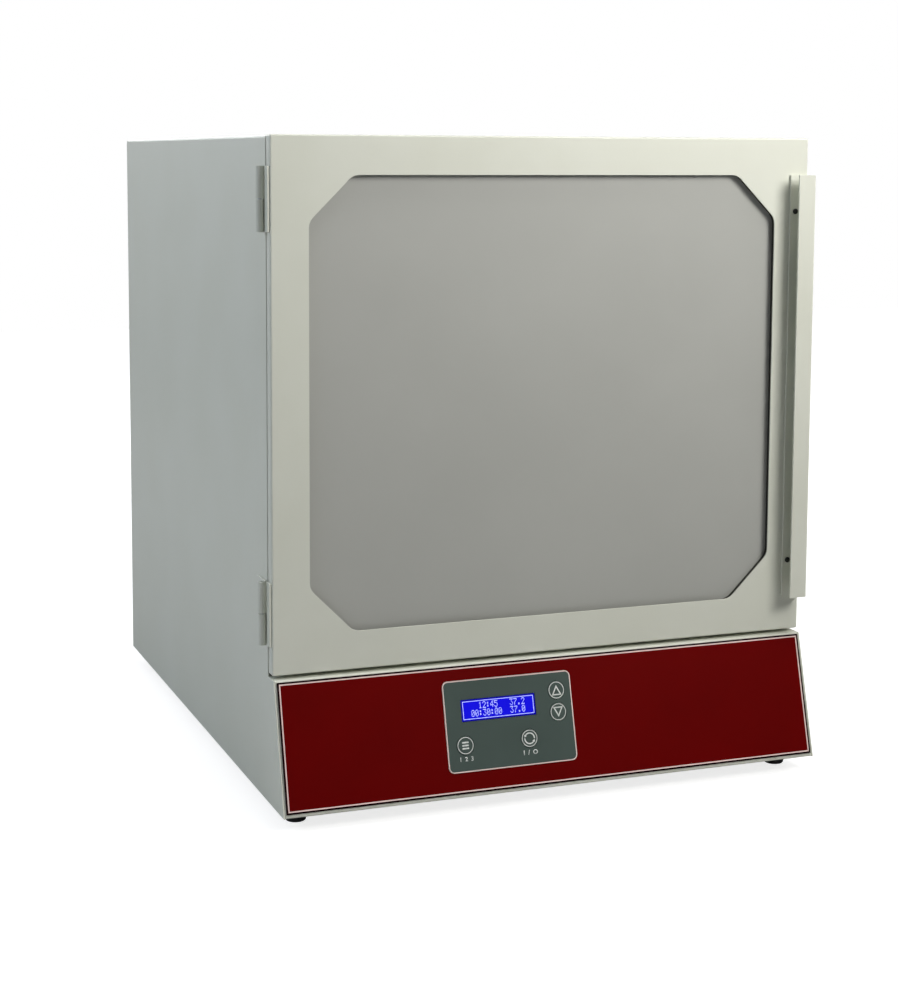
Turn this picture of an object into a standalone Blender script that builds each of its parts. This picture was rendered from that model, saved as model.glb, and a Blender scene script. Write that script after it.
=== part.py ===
"""Forced air incubator: a bench cabinet with a side-hinged, full-front door.

Cabinet coordinates, in metres: X runs to the right from the cabinet's middle, Y runs back
from the front face of the closed door, and Z runs up from the underside of the base.
One empty carries everything and stands the part on its feet, centred on its own box.
"""

import math

import bmesh
import bpy
from mathutils import Matrix, Vector

# Driving dimensions of the cabinet
CABINET_WIDTH = 0.457
CABINET_DEPTH = 0.520
CABINET_HEIGHT = 0.5112
SHEET = 0.0012
WRAP_BEND = 0.0025
INSULATION = 0.0249
LINER_SHEET = 0.0010
CHAMBER_CORNER = 0.010
TOUCH = 0.0003
WELD = 0.0004
CUT_SPARE = 0.003
SLOT_ROUND = 0.4

# Base and the sloped control fascia
BASE_HEIGHT = 0.0992
FASCIA_TOP_REACH = 0.0032
FASCIA_FOOT_REACH = 0.030
FASCIA_RETURN = 0.018
FASCIA_BEND = 0.0014
BASE_RIM = 0.010
BASE_SLOT_COUNT = 7
BASE_SLOT_START = 0.160
BASE_SLOT_PITCH = 0.022
BASE_SLOT_ACROSS = 0.110
FOOT_HEIGHT = 0.012
FOOT_RADIUS = 0.009
FOOT_SIDE_INSET = 0.0185
FOOT_FRONT_INSET = 0.032
FOOT_REAR_INSET = 0.040
FOOT_BORE = 0.0024
FOOT_STUD = 0.005
FOOT_ROUND = 0.0008

# Door
DOOR_GAP_BELOW = 0.003
DOOR_EDGE_DEPTH = 0.010
DOOR_SIDE_GAP = 0.0024
DOOR_BEND = 0.0013
DOOR_CORNER = 0.0015
FACE_RECESS = 0.020
WINDOW_BORDER = 0.030
WINDOW_CHAMFER = 0.035
WINDOW_CORNER = 0.011
WINDOW_RECESS = 0.008
PANE_THICKNESS = 0.003
PANE_OVERLAP = 0.007
SEAL_SETBACK = 0.0008
SEAL_TAPER = 0.0010
DOOR_LINER_SHEET = 0.0010
DOOR_LINER_INSET = 0.0045
DOOR_LINER_CORNER = 0.004
DOOR_LINER_BEND = 0.0008
DOOR_LINER_LIP = 0.002
GASKET_WIDTH = 0.010
GASKET_OVERHANG = 0.004
GASKET_LIP = 0.0015
GASKET_ROUND = 0.0020
GASKET_CROWN = 0.0008

# Hinges
HINGE_LENGTH = 0.049
HINGE_UPPER_INSET = 0.0478
HINGE_LOWER_INSET = 0.0470
HINGE_STANDOFF = 0.0048
KNUCKLE_RADIUS = 0.0031
PIN_RADIUS = 0.0015
PIN_INSET = 0.001
LEAF_SHEET = 0.0015
LEAF_CLEARANCE = 0.0020
DOOR_LEAF_FRONT = 0.0010
CABINET_LEAF_WIDTH = 0.022
HINGE_SCREW_SPACING = 0.030
HINGE_SCREW_HEAD = (0.0032, 0.0012)
KNUCKLE_GAP = 0.0008
KNUCKLE_START = math.radians(52)
KNUCKLE_SWEEP = math.radians(290)

# Door handle
HANDLE_WIDTH = 0.0157
HANDLE_PROJECTION = 0.0155
HANDLE_SHEET = 0.0016
HANDLE_BEND = 0.0020
HANDLE_FROM_EDGE = 0.0009
HANDLE_SCREW_INSET = 0.0295
HANDLE_SCREW_ACROSS = 0.0044
HANDLE_SCREW_RADIUS = 0.0015
HANDLE_SCREW_HEAD = (0.0023, 0.0012)
HANDLE_SCREW_GRIP = 0.008

# Magnetic catch
CATCH_WIDTH = 0.008
CATCH_LENGTH = 0.040
CATCH_GAP = 0.001
CATCH_INSET = 0.100
STRIKE_SHEET = 0.0015
STRIKE_MARGIN = 0.0005
STRIKE_END = 0.005

# Keypad on the fascia, measured along the slope from its foot
OVERLAY_SIDE_MARGIN = 0.0023
OVERLAY_FOOT_MARGIN = 0.0032
OVERLAY_TOP_MARGIN = 0.0012
OVERLAY_THICKNESS = 0.0005
KEYPAD_CENTRE = -0.0395
KEYPAD_FOOT = 0.0196
KEYPAD_WIDTH = 0.109
KEYPAD_HEIGHT = 0.0705
KEYPAD_CORNER = 0.0045
KEYPAD_THICKNESS = 0.0010
DISPLAY_CENTRE = (-0.0483, 0.0665)
DISPLAY_WIDTH = 0.0628
DISPLAY_HEIGHT = 0.0167
KEY_PLACES = {
    "key_up": (0.0021, 0.0754),
    "key_down": (0.0021, 0.0583),
    "key_mode": (-0.0789, 0.0400),
    "key_start": (-0.0246, 0.0402),
}
KEY_RADIUS = 0.0071
KEY_EDGE = 0.0005
KEY_EDGE_DEPTH = 0.0003
KEY_CLEARANCE = 0.0003
KEY_PROUD = 0.0003
KEY_TRAVEL = 0.0004
KEY_STEM_RADIUS = 0.0024
MODULE_WIDTH = 0.080
MODULE_HEIGHT = 0.036
MODULE_DEPTH = 0.0090
BOARD_DEPTH = 0.0125
BOARD_THICKNESS = 0.0016
BOARD_MARGIN = 0.006
BOARD_STUD_INSET = 0.004
SWITCH_WIDTH = 0.006
SWITCH_HEIGHT = 0.0025
POST_RADIUS = 0.0030

# Blocks on the back of the control board: place from its middle, width and length, height
CONTROL_BLOCKS = {
    "processor": ((0, 0), (0.014, 0.014), 0.0024),
    "buzzer": ((0.034, 0.018), (0.020, 0.010), 0.0100),
    "wide_header": ((-0.032, -0.022), (0.028, 0.008), 0.0110),
    "narrow_header": ((0.010, -0.024), (0.018, 0.008), 0.0110),
}

# Power board in the base, with its blocks and capacitors placed from its own middle
POWER_BOARD = (0.120, 0.070)
POWER_BOARD_PLACE = (-0.060, 0.385)
POWER_PILLAR = 0.008
POWER_PILLAR_INSET = 0.007
POWER_BLOCKS = {
    "transformer": ((-0.021, 0), (0.046, 0.038), 0.034),
    "relay": ((0.0175, -0.012), (0.015, 0.018), 0.016),
    "heat_sink": ((0.054, 0), (0.004, 0.046), 0.030),
}
CAPACITOR_PLACES = ((0.016, 0.011), (0.036, 0.011))
CAPACITOR_RADIUS = 0.0065
CAPACITOR_HEIGHT = 0.020
CAPACITOR_ROUND = 0.0006

# Air system behind the chamber
MOTOR_BAY = 0.054
PLENUM = 0.040
BAFFLE_SHEET = 0.0010
BAFFLE_RIM = 0.006
BAFFLE_SIDE_GAP = 0.012
BAFFLE_END_GAP = 0.006
BAFFLE_STUD_INSET = 0.050
BAFFLE_STUD_RADIUS = 0.004
INTAKE_RINGS = 2
INTAKE_HOLE = 0.00665
INTAKE_PITCH = 0.0175
OUTLET_COUNT = 6
OUTLET_WIDTH = 0.008
OUTLET_BRIDGE = 0.012
OUTLET_FROM_SIDE = 0.022
OUTLET_END = 0.015
WHEEL_RADIUS = 0.065
WHEEL_EYE = 0.046
WHEEL_WIDTH = 0.025
WHEEL_SHEET = 0.0010
WHEEL_BACK_GAP = 0.005
BLADE_COUNT = 16
BLADE_SWEEP = math.radians(34)
BLADE_SHEET = 0.0012
BLADE_INSET = 0.001
SHAFT_RADIUS = 0.0040
SHAFT_END = 0.003
SHAFT_CHAMFER = 0.0005
HUB_RADIUS = 0.009
HUB_LENGTH = 0.016
MOTOR_RADIUS = 0.041
MOTOR_LENGTH = 0.036
MOTOR_NOSE = 0.012
MOTOR_NOSE_REACH = 0.004
MOTOR_NOSE_CHAMFER = 0.001
MOTOR_FRONT_ROUND = 0.004
MOTOR_BACK_ROUND = 0.006
MOTOR_SHAFT_COVER = 0.008
MOTOR_PLATE = 0.002
MOTOR_PLATE_MARGIN = 0.009
MOTOR_PLATE_CORNER = 0.006
MOTOR_SCREW_INSET = 0.008
MOTOR_SCREW_HEAD = (0.0032, 0.0020)
HEATER_RADIUS = 0.088
HEATER_TUBE = 0.00325
HEATER_BEND = 0.008
HEATER_FORWARD = 0.002
HEATER_LEG_SPACING = 0.026
HEATER_LEG_END = 0.012
PROBE_PLACE = (0.140, 0.135)
PROBE_RADIUS = 0.0024
PROBE_REACH = 0.020
PROBE_END = 0.006
LIMIT_PLACE = (-0.140, 0.135)
LIMIT_RADIUS = 0.0085
LIMIT_FLANGE = 0.004
LIMIT_LENGTH = 0.014

# Shelves and their runners
SHELF_LEVEL_COUNT = 5
SHELF_AT_LEVEL = {"shelf_lower": 1, "shelf_upper": 3}
RUNNER_WIDTH = 0.012
RUNNER_SHEET = 0.0010
RUNNER_FRONT = 0.030
RUNNER_BACK_GAP = 0.006
UPRIGHT_WIDTH = 0.015
UPRIGHT_SHEET = 0.0012
UPRIGHT_INSET = 0.045
LADDER_FOOT = 0.022
LADDER_TOP = 0.050
LADDER_END = 0.018
SHELF_SHEET = 0.0010
SHELF_LIP = 0.0050
SHELF_CLEARANCE = 0.0004
SHELF_SETBACK = 0.004
SHELF_CORNER = 0.003
SHELF_COLUMNS = 13
SHELF_ROWS = 2
SHELF_SLOT = 0.011
SHELF_SLOT_PITCH = 0.0270
SHELF_BRIDGE = 0.018

# Rear panel and its fittings
REAR_FRAME_WIDTH = 0.014
REAR_FRAME_DEPTH = 0.013
LOUVRE_LENGTH = 0.060
LOUVRE_WIDTH = 0.004
LOUVRE_PITCH = 0.011
LOUVRE_COUNT = 7
LOUVRE_ACROSS = 0.045
LOUVRE_TOP_INSET = 0.030
LOUVRE_FOOT_INSET = 0.110
WIRE_WAY = (0.060, 0.020)
INLET_PLACE = (0.150, 0.050)
SWITCH_PLACE = (0.090, 0.050)
FUSE_PLACE = (0.040, 0.050)
INLET_BODY = (0.0275, 0.0205)
INLET_FLANGE = (0.0500, 0.0260)
INLET_CAVITY = (0.0235, 0.0160)
INLET_DEPTH = 0.0170
INLET_PIN_RECESS = 0.0055
INLET_RIM = 0.0025
INLET_FLOOR = 0.004
INLET_CORNER = 0.0015
INLET_PIN = (0.002, 0.004)
INLET_PIN_SPREAD = 0.007
INLET_PIN_RISE = 0.002
SWITCH_BODY = (0.0185, 0.0280)
SWITCH_FLANGE = (0.0210, 0.0310)
SWITCH_CAVITY = (0.0150, 0.0240)
SWITCH_RIM = 0.0018
SWITCH_DEPTH = 0.0120
SWITCH_TERMINALS = 0.010
SWITCH_CORNER = 0.0010
ROCKER_THROW = math.radians(16)
ROCKER_SIDE_GAP = 0.0004
ROCKER_END_GAP = 0.0010
ROCKER_PIVOT = 0.0050
ROCKER_RISE = 0.0046
ROCKER_MIDDLE = 0.0052
ROCKER_SKIRT = 0.0010
ROCKER_ROOT = 0.0045
ROCKER_ROOT_HALF = 0.0040
FUSE_RADIUS = 0.0062
FUSE_LENGTH = 0.028
FUSE_THREAD = 0.012
FUSE_FLANGE = 0.002
FUSE_CAP = 0.008

# Places worked out from the sizes above
HALF_WIDTH = CABINET_WIDTH / 2
INNER_HALF = HALF_WIDTH - SHEET - TOUCH
CABINET_FRONT = DOOR_EDGE_DEPTH + DOOR_SIDE_GAP
DOOR_BOTTOM = BASE_HEIGHT + DOOR_GAP_BELOW
HINGE_HEIGHTS = {
    "upper": CABINET_HEIGHT - HINGE_UPPER_INSET,
    "lower": DOOR_BOTTOM + HINGE_LOWER_INSET,
}
CATCH_HEIGHTS = {
    "magnetic_catch_lower": DOOR_BOTTOM + CATCH_INSET,
    "magnetic_catch_upper": CABINET_HEIGHT - CATCH_INSET,
}
KEYPAD_MIDDLE = KEYPAD_FOOT + KEYPAD_HEIGHT / 2
RUNNER_HEIGHT = SHELF_LIP + 2 * (SHELF_CLEARANCE + RUNNER_SHEET)
FACE_BACK = FACE_RECESS + SHEET
PANEL_TOP = CABINET_HEIGHT - SHEET - TOUCH
REAR_PANEL_FRONT = CABINET_DEPTH - SHEET
REAR_FRAME_BACK = REAR_PANEL_FRONT - TOUCH
REAR_FRAME_FRONT = REAR_FRAME_BACK - REAR_FRAME_DEPTH
BULKHEAD_BACK = REAR_PANEL_FRONT - MOTOR_BAY
BULKHEAD_FRONT = BULKHEAD_BACK - SHEET
LINER_BACK = BULKHEAD_FRONT - 2 * TOUCH - INSULATION
LINER_BACK_INSIDE = LINER_BACK - LINER_SHEET
BAFFLE_BACK = LINER_BACK_INSIDE - PLENUM
BAFFLE_FRONT = BAFFLE_BACK - BAFFLE_SHEET
WALL = 2 * TOUCH + INSULATION + LINER_SHEET
CHAMBER_HALF = INNER_HALF + TOUCH - WALL
CHAMBER_FLOOR = BASE_HEIGHT + WALL
CHAMBER_CEILING = PANEL_TOP + TOUCH - WALL
CHAMBER_MIDDLE = (CHAMBER_FLOOR + CHAMBER_CEILING) / 2
CATCH_ACROSS = CHAMBER_HALF + GASKET_OVERHANG + GASKET_WIDTH + CATCH_WIDTH / 2 + CATCH_GAP
BASE_PAN_FRONT = FASCIA_RETURN + TOUCH - FASCIA_FOOT_REACH
BASE_PAN_BACK = REAR_FRAME_FRONT - TOUCH
DOOR_LINER_FRONT = WINDOW_RECESS + TOUCH + PANE_THICKNESS + TOUCH
DOOR_LINER_BACK = DOOR_LINER_FRONT + DOOR_LINER_SHEET
HINGE_AXIS = Vector((-HALF_WIDTH - HINGE_STANDOFF, DOOR_EDGE_DEPTH + DOOR_SIDE_GAP / 2, 0))
FAN_AXIS = Vector((0, LINER_BACK_INSIDE, CHAMBER_MIDDLE))
SLOPE_ANGLE = math.atan2(FASCIA_FOOT_REACH - FASCIA_TOP_REACH, BASE_HEIGHT)
SLOPE_LENGTH = BASE_HEIGHT / math.cos(SLOPE_ANGLE)

FINISHES = {
    "putty_enamel": ((0.66, 0.66, 0.58), 0.42, 0.0),
    "maroon_overlay": ((0.17, 0.004, 0.010), 0.35, 0.0),
    "slate_keypad": ((0.065, 0.085, 0.078), 0.45, 0.0),
    "display_blue": ((0.004, 0.004, 0.72), 0.25, 0.0),
    "key_film": ((0.080, 0.100, 0.092), 0.40, 0.0),
    "window_grey": ((0.36, 0.36, 0.33), 0.38, 0.0),
    "black_rubber": ((0.018, 0.018, 0.018), 0.75, 0.0),
    "grey_silicone": ((0.30, 0.30, 0.30), 0.65, 0.0),
    "stainless": ((0.56, 0.56, 0.55), 0.32, 1.0),
    "zinc_steel": ((0.52, 0.53, 0.52), 0.40, 1.0),
    "aluminium": ((0.70, 0.70, 0.70), 0.38, 1.0),
    "glass_wool": ((0.75, 0.66, 0.30), 0.95, 0.0),
    "black_plastic": ((0.022, 0.022, 0.024), 0.50, 0.0),
    "red_plastic": ((0.50, 0.010, 0.010), 0.40, 0.0),
    "circuit_board": ((0.012, 0.110, 0.040), 0.45, 0.0),
}


def plane(origin, across, up, out):
    """A drawing plane: sketch axes u and v, and the direction that depth is measured in."""
    turn = Matrix((across, up, out)).transposed().to_4x4()
    return Matrix.Translation(Vector(origin)) @ turn


FRONT = plane((0, 0, 0), (1, 0, 0), (0, 0, 1), (0, 1, 0))
LEVEL = plane((0, 0, 0), (1, 0, 0), (0, 1, 0), (0, 0, 1))
SIDE = plane((0, 0, 0), (0, 1, 0), (0, 0, 1), (1, 0, 0))
FASCIA = plane(
    (0, -FASCIA_FOOT_REACH, 0),
    (1, 0, 0),
    (0, math.sin(SLOPE_ANGLE), math.cos(SLOPE_ANGLE)),
    (0, -math.cos(SLOPE_ANGLE), math.sin(SLOPE_ANGLE)),
)


def moved(frame, u, v, depth=0.0):
    """The same drawing plane with its origin at another sketch point."""
    return frame @ Matrix.Translation((u, v, depth))


def rectangle(left, right, low, high):
    return [(left, low), (right, low), (right, high), (left, high)]


def centred(width, height, u=0.0, v=0.0):
    return rectangle(u - width / 2, u + width / 2, v - height / 2, v + height / 2)


def circle(radius, steps, u=0.0, v=0.0):
    turns = [2 * math.pi * (i + 0.5) / steps for i in range(steps)]
    return [(u + radius * math.cos(a), v + radius * math.sin(a)) for a in turns]


def hole(radius, steps, u=0.0, v=0.0):
    """A polygon that clears a round of this radius all the way round."""
    return circle(radius / math.cos(math.pi / steps), steps, u, v)


def corner_arc(before, corner, after, radius, steps):
    """Points of the arc that rounds one corner of an outline."""
    a = (Vector(before) - Vector(corner)).normalized()
    b = (Vector(after) - Vector(corner)).normalized()
    half = a.angle(b) / 2
    if radius <= 0 or abs(half - math.pi / 2) < 1e-6:
        return [tuple(corner)]
    reach = radius / math.tan(half)
    middle = Vector(corner) + (a + b).normalized() * (radius / math.sin(half))
    start = Vector(corner) + a * reach - middle
    finish = Vector(corner) + b * reach - middle
    sweep = start.angle(finish)
    points = []
    for i in range(steps + 1):
        part = i / steps
        blend = start * math.sin((1 - part) * sweep) + finish * math.sin(part * sweep)
        points.append(tuple(middle + blend / math.sin(sweep)))
    return points


def rounded(outline, radius, steps=3):
    """A closed outline with every corner rounded."""
    points = []
    for i, corner in enumerate(outline):
        after = outline[(i + 1) % len(outline)]
        points += corner_arc(outline[i - 1], corner, after, radius, steps)
    return points


def grown(outline, distance):
    """A closed outline moved outwards by a distance, point for point."""
    area = sum(a[0] * b[1] - b[0] * a[1] for a, b in zip(outline, outline[1:] + outline[:1]))
    side = 1 if area > 0 else -1
    points = []
    for i, corner in enumerate(outline):
        before = (Vector(corner) - Vector(outline[i - 1])).normalized()
        after = (Vector(outline[(i + 1) % len(outline)]) - Vector(corner)).normalized()
        bisector = Vector((before.y + after.y, -before.x - after.x)).normalized()
        stretch = bisector.dot(Vector((before.y, -before.x)))
        points.append(tuple(Vector(corner) + bisector * (side * distance / stretch)))
    return points


def folded(path, thickness, bend, steps=3):
    """Outline of a sheet folded along a path, with the sheet on the path's left side."""
    line = [Vector(p) for p in path]
    face, back = [path[0]], []
    normals = []
    for a, b in zip(line, line[1:]):
        step = (b - a).normalized()
        normals.append(Vector((-step.y, step.x)))
    inner = [line[0] + normals[0] * thickness]
    for i in range(1, len(line) - 1):
        mitre = (normals[i - 1] + normals[i]).normalized()
        inner.append(line[i] + mitre * (thickness / mitre.dot(normals[i])))
    inner.append(line[-1] + normals[-1] * thickness)
    back.append(tuple(inner[0]))
    for i in range(1, len(line) - 1):
        left_turn = normals[i - 1].cross(normals[i]) > 0
        outside = bend if left_turn else bend - thickness
        inside = bend - thickness if left_turn else bend
        face += corner_arc(line[i - 1], line[i], line[i + 1], outside, steps)
        back += corner_arc(inner[i - 1], inner[i], inner[i + 1], inside, steps)
    face.append(path[-1])
    back.append(tuple(inner[-1]))
    return face + back[::-1]


def ring(bm, frame, outline, depth):
    return [bm.verts.new(frame @ Vector((u, v, depth))) for u, v in outline]


def bridge(bm, first, second):
    for i, vert in enumerate(first):
        j = (i + 1) % len(first)
        bm.faces.new((vert, first[j], second[j], second[i]))


def cap(bm, rings):
    """Close a flat end: one outline, or an outline with holes in it."""
    if len(rings) == 1:
        bm.faces.new(rings[0])
        return
    edges = []
    for loop in rings:
        for i, vert in enumerate(loop):
            edges.append(bm.edges.get((vert, loop[(i + 1) % len(loop)])))
    bmesh.ops.triangle_fill(bm, use_beauty=True, edges=edges)


def prism(bm, frame, outline, low, high, holes=()):
    """A flat plate or bar: an outline, with holes, between two depths."""
    loops = [outline, *holes]
    lower = [ring(bm, frame, loop, low) for loop in loops]
    upper = [ring(bm, frame, loop, high) for loop in loops]
    for first, second in zip(lower, upper):
        bridge(bm, first, second)
    cap(bm, lower)
    cap(bm, upper)


def pan(bm, frame, outline, wall, floor, sheet, rim, holes=(), bend=0.0, bend_steps=3):
    """A folded tray: a floor with holes and a rim all round, its outer edge bent round."""
    inside = grown(outline, -wall)
    toward = 1 if rim > floor else -1
    rings = []
    for i in range(bend_steps + 1 if bend else 1):
        angle = math.pi / 2 * i / bend_steps
        inset = bend * (1 - math.sin(angle))
        depth = floor + toward * bend * (1 - math.cos(angle))
        rings.append(ring(bm, frame, grown(outline, -inset), depth))
    rings.append(ring(bm, frame, outline, rim))
    rings.append(ring(bm, frame, inside, rim))
    rings.append(ring(bm, frame, inside, floor + sheet))
    for first, second in zip(rings, rings[1:]):
        bridge(bm, first, second)
    outer_holes = [ring(bm, frame, loop, floor) for loop in holes]
    inner_holes = [ring(bm, frame, loop, floor + sheet) for loop in holes]
    for first, second in zip(outer_holes, inner_holes):
        bridge(bm, first, second)
    cap(bm, [rings[0], *outer_holes])
    cap(bm, [rings[-1], *inner_holes])


def stepped(bm, frame, levels):
    """A solid through a row of outlines, each given with its depth."""
    rings = [ring(bm, frame, outline, depth) for outline, depth in levels]
    for first, second in zip(rings, rings[1:]):
        bridge(bm, first, second)
    cap(bm, rings[:1])
    cap(bm, rings[-1:])


def moulded_ring(bm, frame, outline, section):
    """A strip of constant section laid round an outline; the section is (outset, depth)."""
    rings = [ring(bm, frame, grown(outline, out), depth) for out, depth in section]
    for first, second in zip(rings, rings[1:] + rings[:1]):
        bridge(bm, first, second)


def turned(bm, frame, profile, steps=24, bored=False):
    """A turned solid about the depth axis; a bored one closes its profile on itself."""
    rings = [ring(bm, frame, circle(radius, steps), depth) for radius, depth in profile]
    pairs = list(zip(rings, rings[1:]))
    if bored:
        pairs.append((rings[-1], rings[0]))
    for first, second in pairs:
        bridge(bm, first, second)
    if not bored:
        cap(bm, rings[:1])
        cap(bm, rings[-1:])


def tube(bm, points, radius, sides=8):
    """A round rod swept along a path of 3D points."""
    line = [Vector(p) for p in points]
    rings = []
    side = None
    for i, point in enumerate(line):
        before = line[max(i - 1, 0)]
        after = line[min(i + 1, len(line) - 1)]
        along = (after - before).normalized()
        if side is None:
            side = along.orthogonal().normalized()
        side = (side - along * side.dot(along)).normalized()
        other = along.cross(side)
        stretch = 1.0
        if before != point and after != point:
            stretch = 1 / along.dot((after - point).normalized())
        spokes = []
        for k in range(sides):
            angle = 2 * math.pi * (k + 0.5) / sides
            reach = side * math.cos(angle) + other * math.sin(angle)
            spokes.append(bm.verts.new(point + reach * radius * stretch))
        rings.append(spokes)
    for first, second in zip(rings, rings[1:]):
        bridge(bm, first, second)
    cap(bm, rings[:1])
    cap(bm, rings[-1:])


def screw(bm, frame, shank_radius, seat, length, head, steps=10):
    """A pan-head screw: its head stands out past the seat, its shank goes back from it."""
    radius, height = head
    straight = height / 2
    profile = [
        (shank_radius, seat - length),
        (shank_radius, seat),
        (radius, seat),
        (radius, seat + straight),
        (radius - straight, seat + height),
    ]
    turned(bm, frame, profile, steps)


def remove_everything():
    for item in list(bpy.data.objects):
        bpy.data.objects.remove(item, do_unlink=True)


def make_materials():
    made = {}
    for name, (colour, roughness, metallic) in FINISHES.items():
        material = bpy.data.materials.new(name)
        material.use_nodes = True
        shader = material.node_tree.nodes["Principled BSDF"]
        shader.inputs["Base Color"].default_value = (*colour, 1)
        shader.inputs["Roughness"].default_value = roughness
        shader.inputs["Metallic"].default_value = metallic
        material.diffuse_color = (*colour, 1)
        made[name] = material
    return made


def make_carrier(name, place=(0, 0, 0), parent=None):
    empty = bpy.data.objects.new(name, None)
    empty.location = place
    empty.parent = parent
    bpy.context.scene.collection.objects.link(empty)
    return empty


def add_part(name, bm, finish, carrier, materials):
    """Turn a drawn solid into a named object that hangs on its carrier's origin."""
    bmesh.ops.recalc_face_normals(bm, faces=bm.faces)
    place = carrier.location if carrier.parent else Vector((0, 0, 0))
    bmesh.ops.translate(bm, verts=bm.verts, vec=-place)
    mesh = bpy.data.meshes.new(name)
    bm.to_mesh(mesh)
    bm.free()
    mesh.shade_smooth()
    mesh.set_sharp_from_angle(angle=math.radians(28))
    mesh.materials.append(materials[finish])
    part = bpy.data.objects.new(name, mesh)
    part.parent = carrier
    bpy.context.scene.collection.objects.link(part)
    return part


def combine(part, bm, operation, materials):
    """Join shapes drawn in a bmesh to a part, or cut them out of it."""
    name = f"{part.name}_tool_{len(part.modifiers)}"
    tool = add_part(name, bm, "zinc_steel", part.parent, materials)
    tool.hide_render = True
    tool.display_type = "WIRE"
    step = part.modifiers.new(name, "BOOLEAN")
    step.operation = operation
    step.solver = "EXACT"
    step.object = tool


def cut_with(part, bm, materials):
    combine(part, bm, "DIFFERENCE", materials)


def join_with(part, bm, materials):
    combine(part, bm, "UNION", materials)


def rear_penetrations(clearance):
    """Round holes behind the chamber for the shaft, the heater's legs and the probe."""
    leg_height = CHAMBER_MIDDLE - HEATER_RADIUS
    holes = [(0, CHAMBER_MIDDLE, MOTOR_NOSE + clearance)]
    for side in (-1, 1):
        holes.append((side * HEATER_LEG_SPACING / 2, leg_height, HEATER_TUBE + clearance))
    holes.append((PROBE_PLACE[0], CHAMBER_MIDDLE + PROBE_PLACE[1], PROBE_RADIUS + clearance))
    return holes


def hole_circles(holes, steps=12):
    return [hole(radius, steps, u, v) for u, v, radius in holes]


def limit_hole(clearance):
    return hole(LIMIT_RADIUS + clearance, 12, LIMIT_PLACE[0], CHAMBER_MIDDLE + LIMIT_PLACE[1])


def window_outline():
    """The door's cut-out: a rectangle with cut corners, every corner rounded."""
    right = HALF_WIDTH - WINDOW_BORDER
    low = DOOR_BOTTOM + WINDOW_BORDER
    high = CABINET_HEIGHT - WINDOW_BORDER
    cut = WINDOW_CHAMFER
    corners = [
        (-right + cut, low), (right - cut, low), (right, low + cut), (right, high - cut),
        (right - cut, high), (-right + cut, high), (-right, high - cut), (-right, low + cut),
    ]
    return rounded(corners, WINDOW_CORNER, 3)


def chamber_outline():
    mouth = rectangle(-CHAMBER_HALF, CHAMBER_HALF, CHAMBER_FLOOR, CHAMBER_CEILING)
    return rounded(mouth, CHAMBER_CORNER, 3)


def wrap_section(low):
    """Outline of a plate inside the wrap, its top corners cut to clear the bends."""
    cut = WRAP_BEND
    side = INNER_HALF
    return [
        (-side, low), (side, low), (side, PANEL_TOP - cut), (side - cut, PANEL_TOP),
        (-side + cut, PANEL_TOP), (-side, PANEL_TOP - cut),
    ]


def foot_places():
    side = HALF_WIDTH - FOOT_SIDE_INSET
    front = FOOT_FRONT_INSET - FASCIA_FOOT_REACH
    back = CABINET_DEPTH - FOOT_REAR_INSET
    return {
        "foot_front_left": (-side, front),
        "foot_front_right": (side, front),
        "foot_rear_left": (-side, back),
        "foot_rear_right": (side, back),
    }


def hinge_screw_places():
    across = CABINET_FRONT + LEAF_CLEARANCE + CABINET_LEAF_WIDTH / 2
    places = []
    for middle in HINGE_HEIGHTS.values():
        for side in (-1, 1):
            places.append((across, middle + side * HINGE_SCREW_SPACING / 2))
    return places


def handle_screw_places():
    across = HALF_WIDTH - HANDLE_FROM_EDGE - HANDLE_WIDTH + HANDLE_SCREW_ACROSS
    low = DOOR_BOTTOM + WINDOW_BORDER + HANDLE_SCREW_INSET
    high = CABINET_HEIGHT - WINDOW_BORDER - HANDLE_SCREW_INSET
    return [(across, low), (across, high)]


def build_cabinet_wrap(carrier, materials):
    """Left side, top and right side in one folded sheet, cut to the sloped base in front."""
    bm = bmesh.new()
    path = [(HALF_WIDTH, 0), (HALF_WIDTH, CABINET_HEIGHT),
            (-HALF_WIDTH, CABINET_HEIGHT), (-HALF_WIDTH, 0)]
    prism(bm, FRONT, folded(path, SHEET, WRAP_BEND), -FASCIA_FOOT_REACH, CABINET_DEPTH)
    wrap = add_part("cabinet_wrap", bm, "putty_enamel", carrier, materials)
    bm = bmesh.new()
    spare = 0.02
    slope = (FASCIA_FOOT_REACH - FASCIA_TOP_REACH) / BASE_HEIGHT
    front = -FASCIA_FOOT_REACH - spare
    profile = [
        (-FASCIA_FOOT_REACH - slope * spare, -spare),
        (-FASCIA_TOP_REACH, BASE_HEIGHT),
        (CABINET_FRONT, BASE_HEIGHT),
        (CABINET_FRONT, CABINET_HEIGHT + spare),
        (front, CABINET_HEIGHT + spare),
        (front, -spare),
    ]
    prism(bm, SIDE, profile, -HALF_WIDTH - spare, HALF_WIDTH + spare)
    radius = PIN_RADIUS + TOUCH
    for u, v in hinge_screw_places():
        prism(bm, SIDE, hole(radius, 12, u, v), -HALF_WIDTH - spare, -HALF_WIDTH + spare)
    cut_with(wrap, bm, materials)


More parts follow.
